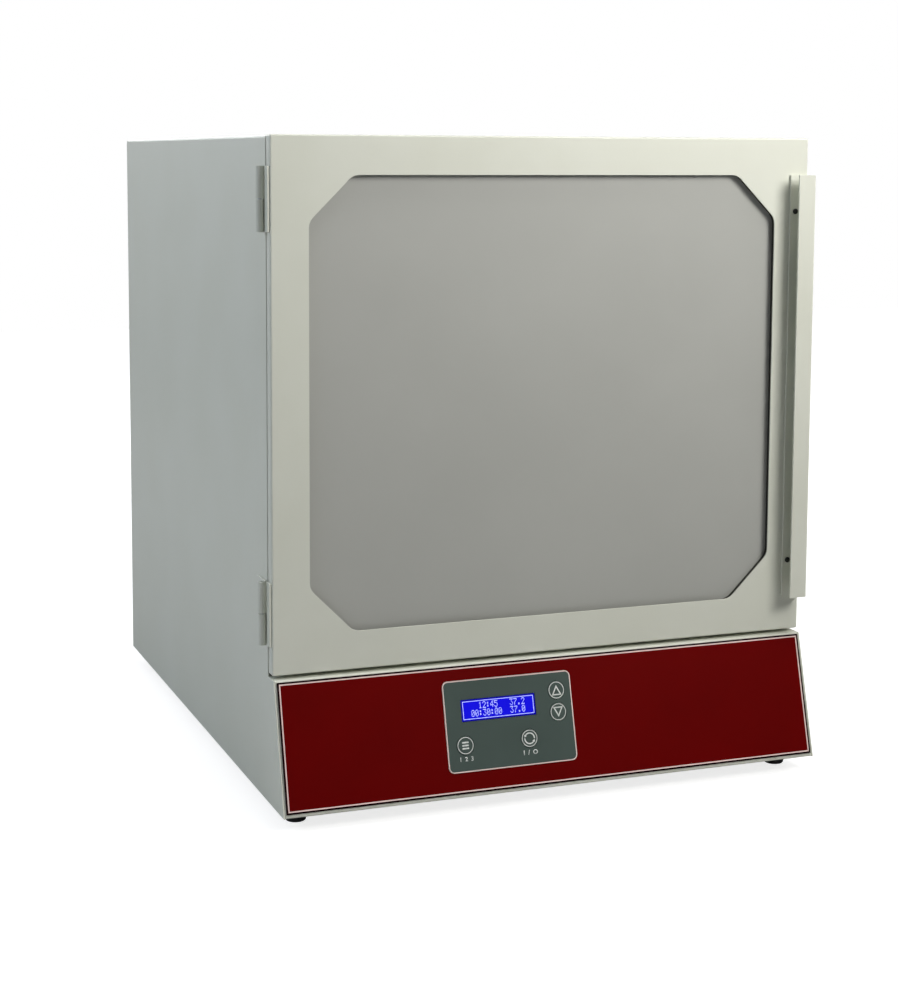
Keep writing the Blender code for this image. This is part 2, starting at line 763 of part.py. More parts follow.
def build_base_pan(carrier, materials):
    bm = bmesh.new()
    outline = rectangle(-INNER_HALF, INNER_HALF, BASE_PAN_FRONT, BASE_PAN_BACK)
    holes = [hole(FOOT_BORE + TOUCH, 12, u, v) for u, v in foot_places().values()]
    for row in range(BASE_SLOT_COUNT):
        v = BASE_SLOT_START + row * BASE_SLOT_PITCH
        for side in (-1, 1):
            slot = centred(LOUVRE_LENGTH, LOUVRE_WIDTH, side * BASE_SLOT_ACROSS, v)
            holes.append(rounded(slot, LOUVRE_WIDTH * SLOT_ROUND, 1))
    pan(bm, LEVEL, outline, SHEET, 0, SHEET, BASE_RIM, holes)
    add_part("base_pan", bm, "zinc_steel", carrier, materials)


def build_rear_panel(carrier, materials):
    """Flat screwed-on rear panel with cooling slots and the cut-outs for its fittings."""
    bm = bmesh.new()
    outline = wrap_section(SHEET + TOUCH)
    holes = []
    for row in range(LOUVRE_COUNT):
        for height in (CHAMBER_CEILING - LOUVRE_TOP_INSET, CHAMBER_FLOOR + LOUVRE_FOOT_INSET):
            for u in (-LOUVRE_ACROSS, LOUVRE_ACROSS):
                v = height - row * LOUVRE_PITCH
                slot = centred(LOUVRE_LENGTH, LOUVRE_WIDTH, u, v)
                holes.append(rounded(slot, LOUVRE_WIDTH * SLOT_ROUND, 1))
    holes.append(centred(INLET_BODY[0] + 2 * TOUCH, INLET_BODY[1] + 2 * TOUCH, *INLET_PLACE))
    holes.append(centred(SWITCH_BODY[0] + 2 * TOUCH, SWITCH_BODY[1] + 2 * TOUCH, *SWITCH_PLACE))
    holes.append(hole(FUSE_RADIUS + TOUCH, 16, *FUSE_PLACE))
    prism(bm, FRONT, outline, REAR_PANEL_FRONT, CABINET_DEPTH, holes)
    add_part("rear_panel", bm, "putty_enamel", carrier, materials)


def build_rear_frame(carrier, materials):
    """Angle-section frame inside the rear edge, which the rear panel screws to."""
    bm = bmesh.new()
    outline = wrap_section(SHEET + TOUCH)
    opening = grown(outline, -REAR_FRAME_WIDTH)
    pan(bm, FRONT, outline, SHEET, REAR_FRAME_BACK, -SHEET, REAR_FRAME_FRONT, [opening])
    add_part("rear_frame", bm, "zinc_steel", carrier, materials)


def build_face_frame(carrier, materials):
    """The face round the chamber's mouth that the door gasket closes on."""
    bm = bmesh.new()
    outline = wrap_section(BASE_HEIGHT + TOUCH)
    holes = [chamber_outline()]
    for v in CATCH_HEIGHTS.values():
        holes.append(centred(CATCH_WIDTH + 2 * TOUCH, CATCH_LENGTH + 2 * TOUCH, CATCH_ACROSS, v))
    prism(bm, FRONT, outline, FACE_RECESS, FACE_BACK, holes)
    add_part("face_frame", bm, "putty_enamel", carrier, materials)


def build_magnetic_catches(carrier, materials):
    """Magnet blocks let into the face frame; they pull on the door's strike strip."""
    front = DOOR_LINER_BACK + TOUCH + STRIKE_SHEET + TOUCH
    for name, v in CATCH_HEIGHTS.items():
        bm = bmesh.new()
        outline = centred(CATCH_WIDTH, CATCH_LENGTH, CATCH_ACROSS, v)
        prism(bm, FRONT, outline, front, FACE_BACK)
        add_part(name, bm, "black_plastic", carrier, materials)


def build_chamber_liner(carrier, materials):
    """Stainless chamber, open to the front, with a pierced back and studs for the baffle."""
    bm = bmesh.new()
    outline = grown(chamber_outline(), LINER_SHEET)
    holes = hole_circles(rear_penetrations(TOUCH))
    pan(bm, FRONT, outline, LINER_SHEET, LINER_BACK, -LINER_SHEET, FACE_BACK + TOUCH, holes)
    liner = add_part("chamber_liner", bm, "stainless", carrier, materials)
    across = CHAMBER_HALF - BAFFLE_STUD_INSET
    up = (CHAMBER_CEILING - CHAMBER_FLOOR) / 2 - BAFFLE_STUD_INSET
    bm = bmesh.new()
    for u in (-across, across):
        for v in (CHAMBER_MIDDLE - up, CHAMBER_MIDDLE + up):
            stud = circle(BAFFLE_STUD_RADIUS, 10, u, v)
            prism(bm, FRONT, stud, BAFFLE_BACK + TOUCH, LINER_BACK_INSIDE + WELD)
    join_with(liner, bm, materials)


def build_insulation(carrier, materials):
    bm = bmesh.new()
    outline = grown(chamber_outline(), LINER_SHEET + TOUCH + INSULATION)
    back = LINER_BACK + TOUCH + INSULATION
    holes = hole_circles(rear_penetrations(2 * TOUCH)) + [limit_hole(2 * TOUCH)]
    pan(bm, FRONT, outline, INSULATION, back, -INSULATION, FACE_BACK + TOUCH, holes)
    add_part("chamber_insulation", bm, "glass_wool", carrier, materials)


def build_deck_plate(carrier, materials):
    """Floor plate between the electrical base and the insulated chamber."""
    bm = bmesh.new()
    outline = rectangle(-INNER_HALF, INNER_HALF, FACE_BACK + TOUCH, BASE_PAN_BACK)
    wire_way = centred(*WIRE_WAY, SWITCH_PLACE[0], (BULKHEAD_BACK + BASE_PAN_BACK) / 2)
    prism(bm, LEVEL, outline, BASE_HEIGHT - SHEET, BASE_HEIGHT, [wire_way])
    add_part("deck_plate", bm, "zinc_steel", carrier, materials)


def build_bulkhead(carrier, materials):
    """Plate that closes the insulation at the back and carries the fan motor."""
    bm = bmesh.new()
    outline = wrap_section(BASE_HEIGHT + TOUCH)
    holes = hole_circles(rear_penetrations(TOUCH)) + [limit_hole(TOUCH)]
    prism(bm, FRONT, outline, BULKHEAD_FRONT, BULKHEAD_BACK, holes)
    add_part("rear_bulkhead", bm, "zinc_steel", carrier, materials)


def build_feet(carrier, materials):
    """Rubber feet, each moulded round the stud that holds it in the base pan."""
    profile = [
        (FOOT_BORE, SHEET + FOOT_STUD),
        (FOOT_BORE, -TOUCH),
        (FOOT_RADIUS, -TOUCH),
        (FOOT_RADIUS, -FOOT_HEIGHT * 0.45),
        (FOOT_RADIUS * 0.90, -FOOT_HEIGHT + FOOT_ROUND),
        (FOOT_RADIUS * 0.82, -FOOT_HEIGHT),
    ]
    for name, (u, v) in foot_places().items():
        bm = bmesh.new()
        turned(bm, moved(LEVEL, u, v), profile, 16)
        add_part(name, bm, "black_rubber", carrier, materials)


def display_outline(margin=0.0):
    return centred(DISPLAY_WIDTH + 2 * margin, DISPLAY_HEIGHT + 2 * margin, *DISPLAY_CENTRE)


def keypad_outline(margin=0.0):
    outline = centred(KEYPAD_WIDTH, KEYPAD_HEIGHT, KEYPAD_CENTRE, KEYPAD_MIDDLE)
    return grown(rounded(outline, KEYPAD_CORNER, 4), margin)


def key_holes():
    radius = KEY_RADIUS + KEY_CLEARANCE
    return [hole(radius, 20, u, v) for u, v in KEY_PLACES.values()]


def draw_board_studs(bm):
    """Threaded studs welded to the back of the fascia, which the control board stands on."""
    across = KEYPAD_WIDTH / 2 + BOARD_MARGIN / 2
    for side in (-1, 1):
        for end in (-1, 1):
            u = KEYPAD_CENTRE + side * across
            v = KEYPAD_MIDDLE + end * (KEYPAD_HEIGHT / 2 - BOARD_STUD_INSET)
            outline = circle(POST_RADIUS, 6, u, v)
            prism(bm, FASCIA, outline, board_front() + TOUCH, WELD - SHEET)


def build_control_fascia(carrier, materials):
    """Ledge, sloped front and bottom return in one folded sheet, pierced for the controls."""
    bm = bmesh.new()
    path = [
        (FASCIA_RETURN - FASCIA_FOOT_REACH, 0),
        (-FASCIA_FOOT_REACH, 0),
        (-FASCIA_TOP_REACH, BASE_HEIGHT),
        (FACE_RECESS - TOUCH, BASE_HEIGHT),
    ]
    outline = folded(path[::-1], SHEET, FASCIA_BEND)
    prism(bm, SIDE, outline, -INNER_HALF, INNER_HALF)
    fascia = add_part("control_fascia", bm, "putty_enamel", carrier, materials)
    bm = bmesh.new()
    draw_board_studs(bm)
    join_with(fascia, bm, materials)
    bm = bmesh.new()
    for outline in [display_outline(TOUCH), *key_holes()]:
        prism(bm, FASCIA, outline, -SHEET - CUT_SPARE, CUT_SPARE)
    cut_with(fascia, bm, materials)


def build_fascia_overlay(carrier, materials):
    bm = bmesh.new()
    outline = rectangle(
        -HALF_WIDTH + OVERLAY_SIDE_MARGIN, HALF_WIDTH - OVERLAY_SIDE_MARGIN,
        OVERLAY_FOOT_MARGIN, SLOPE_LENGTH - OVERLAY_TOP_MARGIN,
    )
    prism(bm, FASCIA, outline, TOUCH, TOUCH + OVERLAY_THICKNESS, [keypad_outline(TOUCH)])
    add_part("fascia_overlay", bm, "maroon_overlay", carrier, materials)


def build_keypad_panel(carrier, materials):
    bm = bmesh.new()
    holes = [display_outline(TOUCH), *key_holes()]
    prism(bm, FASCIA, keypad_outline(), TOUCH, TOUCH + KEYPAD_THICKNESS, holes)
    add_part("keypad_panel", bm, "slate_keypad", carrier, materials)


def build_display_module(carrier, materials):
    """Character display: circuit board, metal bezel and the glass that fills the window."""
    bm = bmesh.new()
    back = SHEET + TOUCH + MODULE_DEPTH
    board = centred(MODULE_WIDTH, MODULE_HEIGHT, *DISPLAY_CENTRE)
    bezel = centred(MODULE_WIDTH * 0.89, MODULE_HEIGHT * 0.72, *DISPLAY_CENTRE)
    glass = display_outline()
    levels = [
        (board, -back),
        (board, -back + BOARD_THICKNESS),
        (bezel, -back + BOARD_THICKNESS),
        (bezel, -SHEET - TOUCH),
        (glass, -SHEET - TOUCH),
        (glass, TOUCH + KEYPAD_THICKNESS * 0.5),
    ]
    stepped(bm, FASCIA, levels)
    add_part("display_module", bm, "display_blue", carrier, materials)


def board_front():
    return -SHEET - BOARD_DEPTH


def build_control_board(carrier, materials):
    """Circuit board behind the keypad with a tact switch under each key."""
    front = board_front()
    outline = centred(KEYPAD_WIDTH + 2 * BOARD_MARGIN, KEYPAD_HEIGHT + BOARD_MARGIN / 2,
                      KEYPAD_CENTRE, KEYPAD_MIDDLE)
    bm = bmesh.new()
    prism(bm, FASCIA, outline, front - BOARD_THICKNESS, front)
    board = add_part("control_board", bm, "circuit_board", carrier, materials)
    bm = bmesh.new()
    for u, v in KEY_PLACES.values():
        switch = centred(SWITCH_WIDTH, SWITCH_WIDTH, u, v)
        prism(bm, FASCIA, switch, front - WELD, front + SWITCH_HEIGHT)
    back = front - BOARD_THICKNESS + WELD
    for (u, v), (width, length), height in CONTROL_BLOCKS.values():
        block = centred(width, length, KEYPAD_CENTRE + u, KEYPAD_MIDDLE + v)
        prism(bm, FASCIA, block, back - height, back)
    join_with(board, bm, materials)


def build_keys(frame, materials):
    """Four round keys, each on its own carrier, with a stem down to its switch."""
    face = TOUCH + KEYPAD_THICKNESS + KEY_PROUD
    stem_end = board_front() + SWITCH_HEIGHT + KEY_TRAVEL + TOUCH
    profile = [
        (KEY_STEM_RADIUS, stem_end),
        (KEY_STEM_RADIUS, TOUCH),
        (KEY_RADIUS, TOUCH),
        (KEY_RADIUS, face - KEY_EDGE_DEPTH),
        (KEY_RADIUS - KEY_EDGE, face),
    ]
    for name, (u, v) in KEY_PLACES.items():
        here = moved(FASCIA, u, v)
        carrier = make_carrier(name + "_carrier", here.translation, frame)
        bm = bmesh.new()
        turned(bm, here, profile, 20)
        add_part(name, bm, "key_film", carrier, materials)


def build_power_board(carrier, materials):
    """Power board on four pillars: transformer, two capacitors, relay and heat sink."""
    middle = POWER_BOARD_PLACE
    under = SHEET + TOUCH + POWER_PILLAR
    top = under + BOARD_THICKNESS
    bm = bmesh.new()
    prism(bm, LEVEL, centred(*POWER_BOARD, *middle), under, top)
    board = add_part("power_board", bm, "circuit_board", carrier, materials)
    bm = bmesh.new()
    across = POWER_BOARD[0] / 2 - POWER_PILLAR_INSET
    along = POWER_BOARD[1] / 2 - POWER_PILLAR_INSET
    for u in (middle[0] - across, middle[0] + across):
        for v in (middle[1] - along, middle[1] + along):
            prism(bm, LEVEL, circle(POST_RADIUS, 6, u, v), SHEET + TOUCH, under + WELD)
    for (u, v), (width, length), height in POWER_BLOCKS.values():
        block = centred(width, length, middle[0] + u, middle[1] + v)
        prism(bm, LEVEL, block, top - WELD, top + height)
    profile = [
        (CAPACITOR_RADIUS, top - WELD), (CAPACITOR_RADIUS, top + CAPACITOR_HEIGHT - CAPACITOR_ROUND),
        (CAPACITOR_RADIUS - CAPACITOR_ROUND, top + CAPACITOR_HEIGHT),
    ]
    for u, v in CAPACITOR_PLACES:
        turned(bm, moved(LEVEL, middle[0] + u, middle[1] + v), profile, 14)
    join_with(board, bm, materials)


def build_power_inlet(carrier, materials):
    """Three-pin appliance inlet: flange, body, open cavity and pins."""
    bm = bmesh.new()
    here = moved(FRONT, *INLET_PLACE)
    seat = CABINET_DEPTH + TOUCH
    face = seat + INLET_RIM
    floor = face - INLET_DEPTH
    body, flange, cavity = [
        rounded(centred(*size), INLET_CORNER, 2)
        for size in (INLET_BODY, INLET_FLANGE, INLET_CAVITY)
    ]
    levels = [(body, floor - INLET_FLOOR), (body, seat), (flange, seat), (flange, face),
              (cavity, face), (cavity, floor)]
    stepped(bm, here, levels)
    inlet = add_part("power_inlet", bm, "black_plastic", carrier, materials)
    bm = bmesh.new()
    for side in (-1, 0, 1):
        u = side * INLET_PIN_SPREAD
        v = INLET_PIN_RISE * (1 - 2 * abs(side))
        prism(bm, here, centred(*INLET_PIN, u, v), floor - WELD, face - INLET_PIN_RECESS)
    join_with(inlet, bm, materials)


def build_power_switch(carrier, frame, materials):
    """Rocker switch: the fixed housing, and the rocker on its own pivot."""
    here = moved(FRONT, *SWITCH_PLACE)
    seat = CABINET_DEPTH + TOUCH
    face = seat + SWITCH_RIM
    floor = face - SWITCH_DEPTH
    bm = bmesh.new()
    body, flange, cavity = [
        rounded(centred(*size), SWITCH_CORNER, 2)
        for size in (SWITCH_BODY, SWITCH_FLANGE, SWITCH_CAVITY)
    ]
    levels = [(body, floor - SWITCH_TERMINALS), (body, seat), (flange, seat), (flange, face),
              (cavity, face), (cavity, floor)]
    stepped(bm, here, levels)
    add_part("power_switch", bm, "black_plastic", carrier, materials)

    pivot = here @ Vector((0, 0, face - ROCKER_PIVOT))
    rocker = make_carrier("power_rocker_carrier", pivot, frame)
    half_width = SWITCH_CAVITY[0] / 2 - ROCKER_SIDE_GAP
    reach = SWITCH_CAVITY[1] / 2 - ROCKER_END_GAP
    profile = [
        (-reach, ROCKER_SKIRT), (-reach, ROCKER_RISE), (0, ROCKER_MIDDLE), (reach, ROCKER_RISE),
        (reach, ROCKER_SKIRT), (ROCKER_ROOT_HALF, -ROCKER_ROOT), (-ROCKER_ROOT_HALF, -ROCKER_ROOT),
    ]
    turn = Matrix.Rotation(ROCKER_THROW / 2, 2)
    tipped = [turn @ Vector(point) for point in profile]
    sketch = plane(pivot, (0, 0, 1), (0, 1, 0), (1, 0, 0))
    bm = bmesh.new()
    prism(bm, sketch, [tuple(point) for point in tipped], -half_width, half_width)
    add_part("power_rocker", bm, "red_plastic", rocker, materials)


def build_fuse_holder(carrier, materials):
    """Panel fuse holder: threaded body, flange and the cap that is turned to open it."""
    bm = bmesh.new()
    seat = CABINET_DEPTH + TOUCH
    flange = FUSE_RADIUS + FUSE_FLANGE
    profile = [
        (FUSE_RADIUS * 0.9, seat - FUSE_LENGTH), (FUSE_RADIUS, seat - FUSE_THREAD),
        (FUSE_RADIUS, seat), (flange, seat), (flange, seat + FUSE_FLANGE),
        (FUSE_RADIUS, seat + FUSE_FLANGE * 1.5), (FUSE_RADIUS * 0.92, seat + FUSE_CAP * 0.94),
        (FUSE_RADIUS * 0.75, seat + FUSE_CAP),
    ]
    turned(bm, moved(FRONT, *FUSE_PLACE), profile, 16)
    add_part("fuse_holder", bm, "black_plastic", carrier, materials)


def build_air_baffle(carrier, materials):
    """Perforated cover in front of the fan: round intake grille and side outlet slots."""
    bm = bmesh.new()
    half = CHAMBER_HALF - BAFFLE_SIDE_GAP
    low = CHAMBER_FLOOR + BAFFLE_END_GAP
    high = CHAMBER_CEILING - BAFFLE_END_GAP
    outline = rounded(rectangle(-half, half, low, high), CHAMBER_CORNER / 2, 2)
    holes = []
    for layer in range(INTAKE_RINGS + 1):
        count = max(1, 6 * layer)
        for i in range(count):
            angle = 2 * math.pi * i / count
            u = layer * INTAKE_PITCH * math.cos(angle)
            v = CHAMBER_MIDDLE + layer * INTAKE_PITCH * math.sin(angle)
            holes.append(circle(INTAKE_HOLE, 8, u, v))
    pitch = (high - low - 2 * OUTLET_END) / OUTLET_COUNT
    for side in (-1, 1):
        u = side * (half - OUTLET_FROM_SIDE)
        for i in range(OUTLET_COUNT):
            v = low + OUTLET_END + (i + 0.5) * pitch
            slot = centred(OUTLET_WIDTH, pitch - OUTLET_BRIDGE, u, v)
            holes.append(rounded(slot, OUTLET_WIDTH * SLOT_ROUND, 1))
    u, v = PROBE_PLACE
    holes.append(hole(PROBE_RADIUS + TOUCH, 12, u, CHAMBER_MIDDLE + v))
    pan(bm, FRONT, outline, BAFFLE_SHEET, BAFFLE_FRONT, BAFFLE_SHEET,
        BAFFLE_FRONT + BAFFLE_RIM, holes)
    add_part("air_baffle", bm, "stainless", carrier, materials)


def build_heater(carrier, materials):
    """Sheathed tubular element bent round the fan wheel, its legs out through the back."""
    bm = bmesh.new()
    loop_depth = LINER_BACK_INSIDE - (WHEEL_BACK_GAP + WHEEL_WIDTH) / 2 - HEATER_FORWARD
    leg_end = BULKHEAD_BACK + HEATER_LEG_END
    gap_angle = math.asin(HEATER_LEG_SPACING / 2 / HEATER_RADIUS)
    steps = 22
    points = []
    for i in range(steps + 1):
        angle = -math.pi / 2 + gap_angle + (2 * math.pi - 2 * gap_angle) * i / steps
        u = HEATER_RADIUS * math.cos(angle)
        v = CHAMBER_MIDDLE + HEATER_RADIUS * math.sin(angle)
        points.append(Vector((u, loop_depth, v)))
    leg_height = CHAMBER_MIDDLE - HEATER_RADIUS
    legs = []
    for side in (1, -1):
        u = side * HEATER_LEG_SPACING / 2
        leg = [Vector((u, leg_end, leg_height))]
        for angle in (0, math.pi / 6, math.pi / 3):
            across = u + side * HEATER_BEND * (1 - math.cos(angle))
            depth = loop_depth + HEATER_BEND * (1 - math.sin(angle))
            leg.append(Vector((across, depth, leg_height)))
        legs.append(leg)
    path = legs[0] + points[2:-2] + legs[1][::-1]
    tube(bm, path, HEATER_TUBE, 6)
    add_part("heater_element", bm, "stainless", carrier, materials)


def build_probe_and_limit(carrier, materials):
    """Temperature probe through the back wall, and the safety thermostat pressed on the liner."""
    bm = bmesh.new()
    u, v = PROBE_PLACE
    tip = BAFFLE_FRONT - PROBE_REACH
    profile = [
        (PROBE_RADIUS * 0.6, tip), (PROBE_RADIUS, tip + PROBE_RADIUS),
        (PROBE_RADIUS, BULKHEAD_BACK + PROBE_END - PROBE_RADIUS),
        (PROBE_RADIUS * 0.6, BULKHEAD_BACK + PROBE_END),
    ]
    turned(bm, moved(FRONT, u, CHAMBER_MIDDLE + v), profile, 10)
    add_part("temperature_probe", bm, "stainless", carrier, materials)

    bm = bmesh.new()
    u, v = LIMIT_PLACE
    seat = LINER_BACK + TOUCH
    body = LIMIT_RADIUS * 0.72
    profile = [
        (LIMIT_RADIUS, seat), (LIMIT_RADIUS, seat + LIMIT_FLANGE),
        (body, seat + LIMIT_FLANGE + LINER_SHEET), (body, seat + LIMIT_LENGTH),
    ]
    turned(bm, moved(FRONT, u, CHAMBER_MIDDLE + v), profile, 16)
    add_part("safety_thermostat", bm, "aluminium", carrier, materials)


def build_fan_motor(carrier, materials):
    """Motor can, its mounting plate and the heads of the four screws that hold it."""
    here = moved(FRONT, 0, CHAMBER_MIDDLE)
    bore = SHAFT_RADIUS + TOUCH
    plate_front = BULKHEAD_BACK + TOUCH
    plate_back = plate_front + MOTOR_PLATE
    back = plate_back + MOTOR_LENGTH
    shaft_room = back - MOTOR_SHAFT_COVER
    nose = BULKHEAD_FRONT - MOTOR_NOSE_REACH
    profile = [
        (bore, shaft_room), (bore, nose), (MOTOR_NOSE - MOTOR_NOSE_CHAMFER, nose),
        (MOTOR_NOSE, nose + MOTOR_NOSE_CHAMFER), (MOTOR_NOSE, plate_back - WELD),
        (MOTOR_RADIUS - MOTOR_FRONT_ROUND, plate_back - WELD),
        (MOTOR_RADIUS, plate_back + MOTOR_FRONT_ROUND), (MOTOR_RADIUS, back - MOTOR_BACK_ROUND),
        (MOTOR_RADIUS - MOTOR_BACK_ROUND, back),
    ]
    bm = bmesh.new()
    rings = [ring(bm, here, circle(radius, 20), depth) for radius, depth in profile]
    for first, second in zip(rings, rings[1:]):
        bridge(bm, first, second)
    cap(bm, rings[:1])
    cap(bm, rings[-1:])
    half = MOTOR_RADIUS + MOTOR_PLATE_MARGIN
    bolt = half - MOTOR_SCREW_INSET
    radius, height = MOTOR_SCREW_HEAD
    straight = height / 2
    head = [(radius, plate_back - WELD), (radius, plate_back + straight),
            (radius - straight, plate_back + height)]
    for u in (-bolt, bolt):
        for v in (-bolt, bolt):
            turned(bm, moved(here, u, v), head, 10)
    motor = add_part("fan_motor", bm, "zinc_steel", carrier, materials)

    bm = bmesh.new()
    plate = rounded(centred(2 * half, 2 * half), MOTOR_PLATE_CORNER, 3)
    eye = circle((bore + MOTOR_NOSE) / 2, 20)
    prism(bm, here, plate, plate_front, plate_back, [eye])
    join_with(motor, bm, materials)
    return shaft_room


def build_fan(carrier, shaft_room, materials):
    """Blower wheel with swept blades between a hub plate and a front ring, on its shaft."""
    here = moved(FRONT, 0, CHAMBER_MIDDLE)
    plate_back = LINER_BACK_INSIDE - WHEEL_BACK_GAP
    plate_front = plate_back - WHEEL_SHEET
    ring_front = plate_back - WHEEL_WIDTH
    ring_back = ring_front + WHEEL_SHEET
    bore = SHAFT_RADIUS + TOUCH
    bm = bmesh.new()
    hub = [
        (bore, plate_front - HUB_LENGTH), (HUB_RADIUS, plate_front - HUB_LENGTH),
        (HUB_RADIUS, plate_front), (WHEEL_RADIUS, plate_front), (WHEEL_RADIUS, plate_back),
        (bore, plate_back),
    ]
    turned(bm, here, hub, 24, bored=True)
    wheel = add_part("fan_wheel", bm, "aluminium", carrier, materials)
    shroud = [
        (WHEEL_EYE, ring_front), (WHEEL_RADIUS, ring_front), (WHEEL_RADIUS, ring_back),
        (WHEEL_EYE, ring_back),
    ]
    inner, outer = WHEEL_EYE + BLADE_INSET, WHEEL_RADIUS - BLADE_INSET
    steps = 2
    bm = bmesh.new()
    for blade in range(BLADE_COUNT):
        face, back = [], []
        for i in range(steps + 1):
            part = i / steps
            radius = inner + (outer - inner) * part
            angle = 2 * math.pi * blade / BLADE_COUNT + BLADE_SWEEP * part ** 1.4
            half = BLADE_SHEET / 2 / radius
            face.append((radius * math.cos(angle - half), radius * math.sin(angle - half)))
            back.append((radius * math.cos(angle + half), radius * math.sin(angle + half)))
        prism(bm, here, face + back[::-1], ring_back - WELD, plate_front + WELD)
    join_with(wheel, bm, materials)
    bm = bmesh.new()
    turned(bm, here, shroud, 24, bored=True)
    join_with(wheel, bm, materials)

    bm = bmesh.new()
    start = plate_front - HUB_LENGTH - SHAFT_END
    end = shaft_room - TOUCH
    profile = [(SHAFT_RADIUS - SHAFT_CHAMFER, start), (SHAFT_RADIUS, start + SHAFT_CHAMFER),
               (SHAFT_RADIUS, end)]
    turned(bm, here, profile, 16)
    add_part("fan_shaft", bm, "zinc_steel", carrier, materials)


def shelf_half_width():
    """Half the width left between the runners' webs."""
    web = CHAMBER_HALF - TOUCH - UPRIGHT_SHEET + WELD
    return web - RUNNER_SHEET - SHELF_CLEARANCE


def shelf_level(number):
    """Foot of a pair of runners; the levels are spread evenly up the ladders."""
    low = CHAMBER_FLOOR + LADDER_FOOT + LADDER_END
    high = CHAMBER_CEILING - LADDER_TOP - LADDER_END - RUNNER_HEIGHT
    return low + (high - low) * number / (SHELF_LEVEL_COUNT - 1)


def build_shelf_ladders(carrier, materials):
    """Two uprights on each side wall, with channel runners welded to them."""
    front = RUNNER_FRONT
    back = BAFFLE_FRONT - RUNNER_BACK_GAP
    wall = CHAMBER_HALF - TOUCH
    post = wall - UPRIGHT_SHEET
    web = post + WELD
    inside = web - RUNNER_SHEET
    lip = web - RUNNER_WIDTH
    low, high = CHAMBER_FLOOR + LADDER_FOOT, CHAMBER_CEILING - LADDER_TOP
    for name, side in (("shelf_ladder_left", -1), ("shelf_ladder_right", 1)):
        bm = bmesh.new()
        sides = sorted((side * wall, side * post))
        for v in (front + UPRIGHT_INSET, back - UPRIGHT_INSET):
            half = UPRIGHT_WIDTH / 2
            prism(bm, LEVEL, rectangle(*sides, v - half, v + half), low, high)
        ladder = add_part(name, bm, "stainless", carrier, materials)
        bm = bmesh.new()
        for level in range(SHELF_LEVEL_COUNT):
            base = shelf_level(level)
            top = base + RUNNER_HEIGHT
            channel = [
                (lip, base), (web, base), (web, top), (lip, top), (lip, top - RUNNER_SHEET),
                (inside, top - RUNNER_SHEET), (inside, base + RUNNER_SHEET),
                (lip, base + RUNNER_SHEET),
            ]
            prism(bm, FRONT, [(side * u, v) for u, v in channel], front, back)
        join_with(ladder, bm, materials)


def build_shelf(name, level, frame, materials):
    """Slotted sheet shelf with its rim folded down, which slides in a pair of runners."""
    half = shelf_half_width()
    rim = shelf_level(level) + RUNNER_SHEET + SHELF_CLEARANCE
    top = rim + SHELF_LIP
    front = RUNNER_FRONT + SHELF_SETBACK
    back = BAFFLE_FRONT - RUNNER_BACK_GAP
    carrier = make_carrier(name + "_carrier", (0, front, rim), frame)
    outline = rounded(rectangle(-half, half, front, back), SHELF_CORNER, 2)
    room = back - front - (SHELF_ROWS + 1) * SHELF_BRIDGE
    length = room / SHELF_ROWS
    slots = []
    for column in range(SHELF_COLUMNS):
        u = (column - (SHELF_COLUMNS - 1) / 2) * SHELF_SLOT_PITCH
        for row in range(SHELF_ROWS):
            v = front + SHELF_BRIDGE + length / 2 + row * (length + SHELF_BRIDGE)
            slots.append(rounded(centred(SHELF_SLOT, length, u, v), SHELF_SLOT * SLOT_ROUND, 1))
    bm = bmesh.new()
    pan(bm, LEVEL, outline, SHELF_SHEET, top, -SHELF_SHEET, rim, slots)
    add_part(name, bm, "stainless", carrier, materials)


def build_door_skin(door, materials):
    """Painted outer pan with the window cut-out and holes for the handle screws."""
    bm = bmesh.new()
    outline = rounded(
        rectangle(-HALF_WIDTH, HALF_WIDTH, DOOR_BOTTOM, CABINET_HEIGHT), DOOR_CORNER, 2)
    holes = [window_outline()]
    holes += [hole(HANDLE_SCREW_RADIUS + TOUCH, 12, u, v) for u, v in handle_screw_places()]
    pan(bm, FRONT, outline, SHEET, 0, SHEET, DOOR_EDGE_DEPTH, holes, DOOR_BEND)
    add_part("door_skin", bm, "putty_enamel", door, materials)


def build_window(door, materials):
    window = window_outline()
    bm = bmesh.new()
    section = [
        (SEAL_SETBACK, SHEET + TOUCH), (PANE_OVERLAP, SHEET + TOUCH),
        (PANE_OVERLAP, WINDOW_RECESS), (SEAL_SETBACK + SEAL_TAPER, WINDOW_RECESS),
    ]
    moulded_ring(bm, FRONT, window, section)
    add_part("window_seal", bm, "black_rubber", door, materials)

    bm = bmesh.new()
    front = WINDOW_RECESS + TOUCH
    prism(bm, FRONT, grown(window, PANE_OVERLAP), front, front + PANE_THICKNESS)
    add_part("window_pane", bm, "window_grey", door, materials)


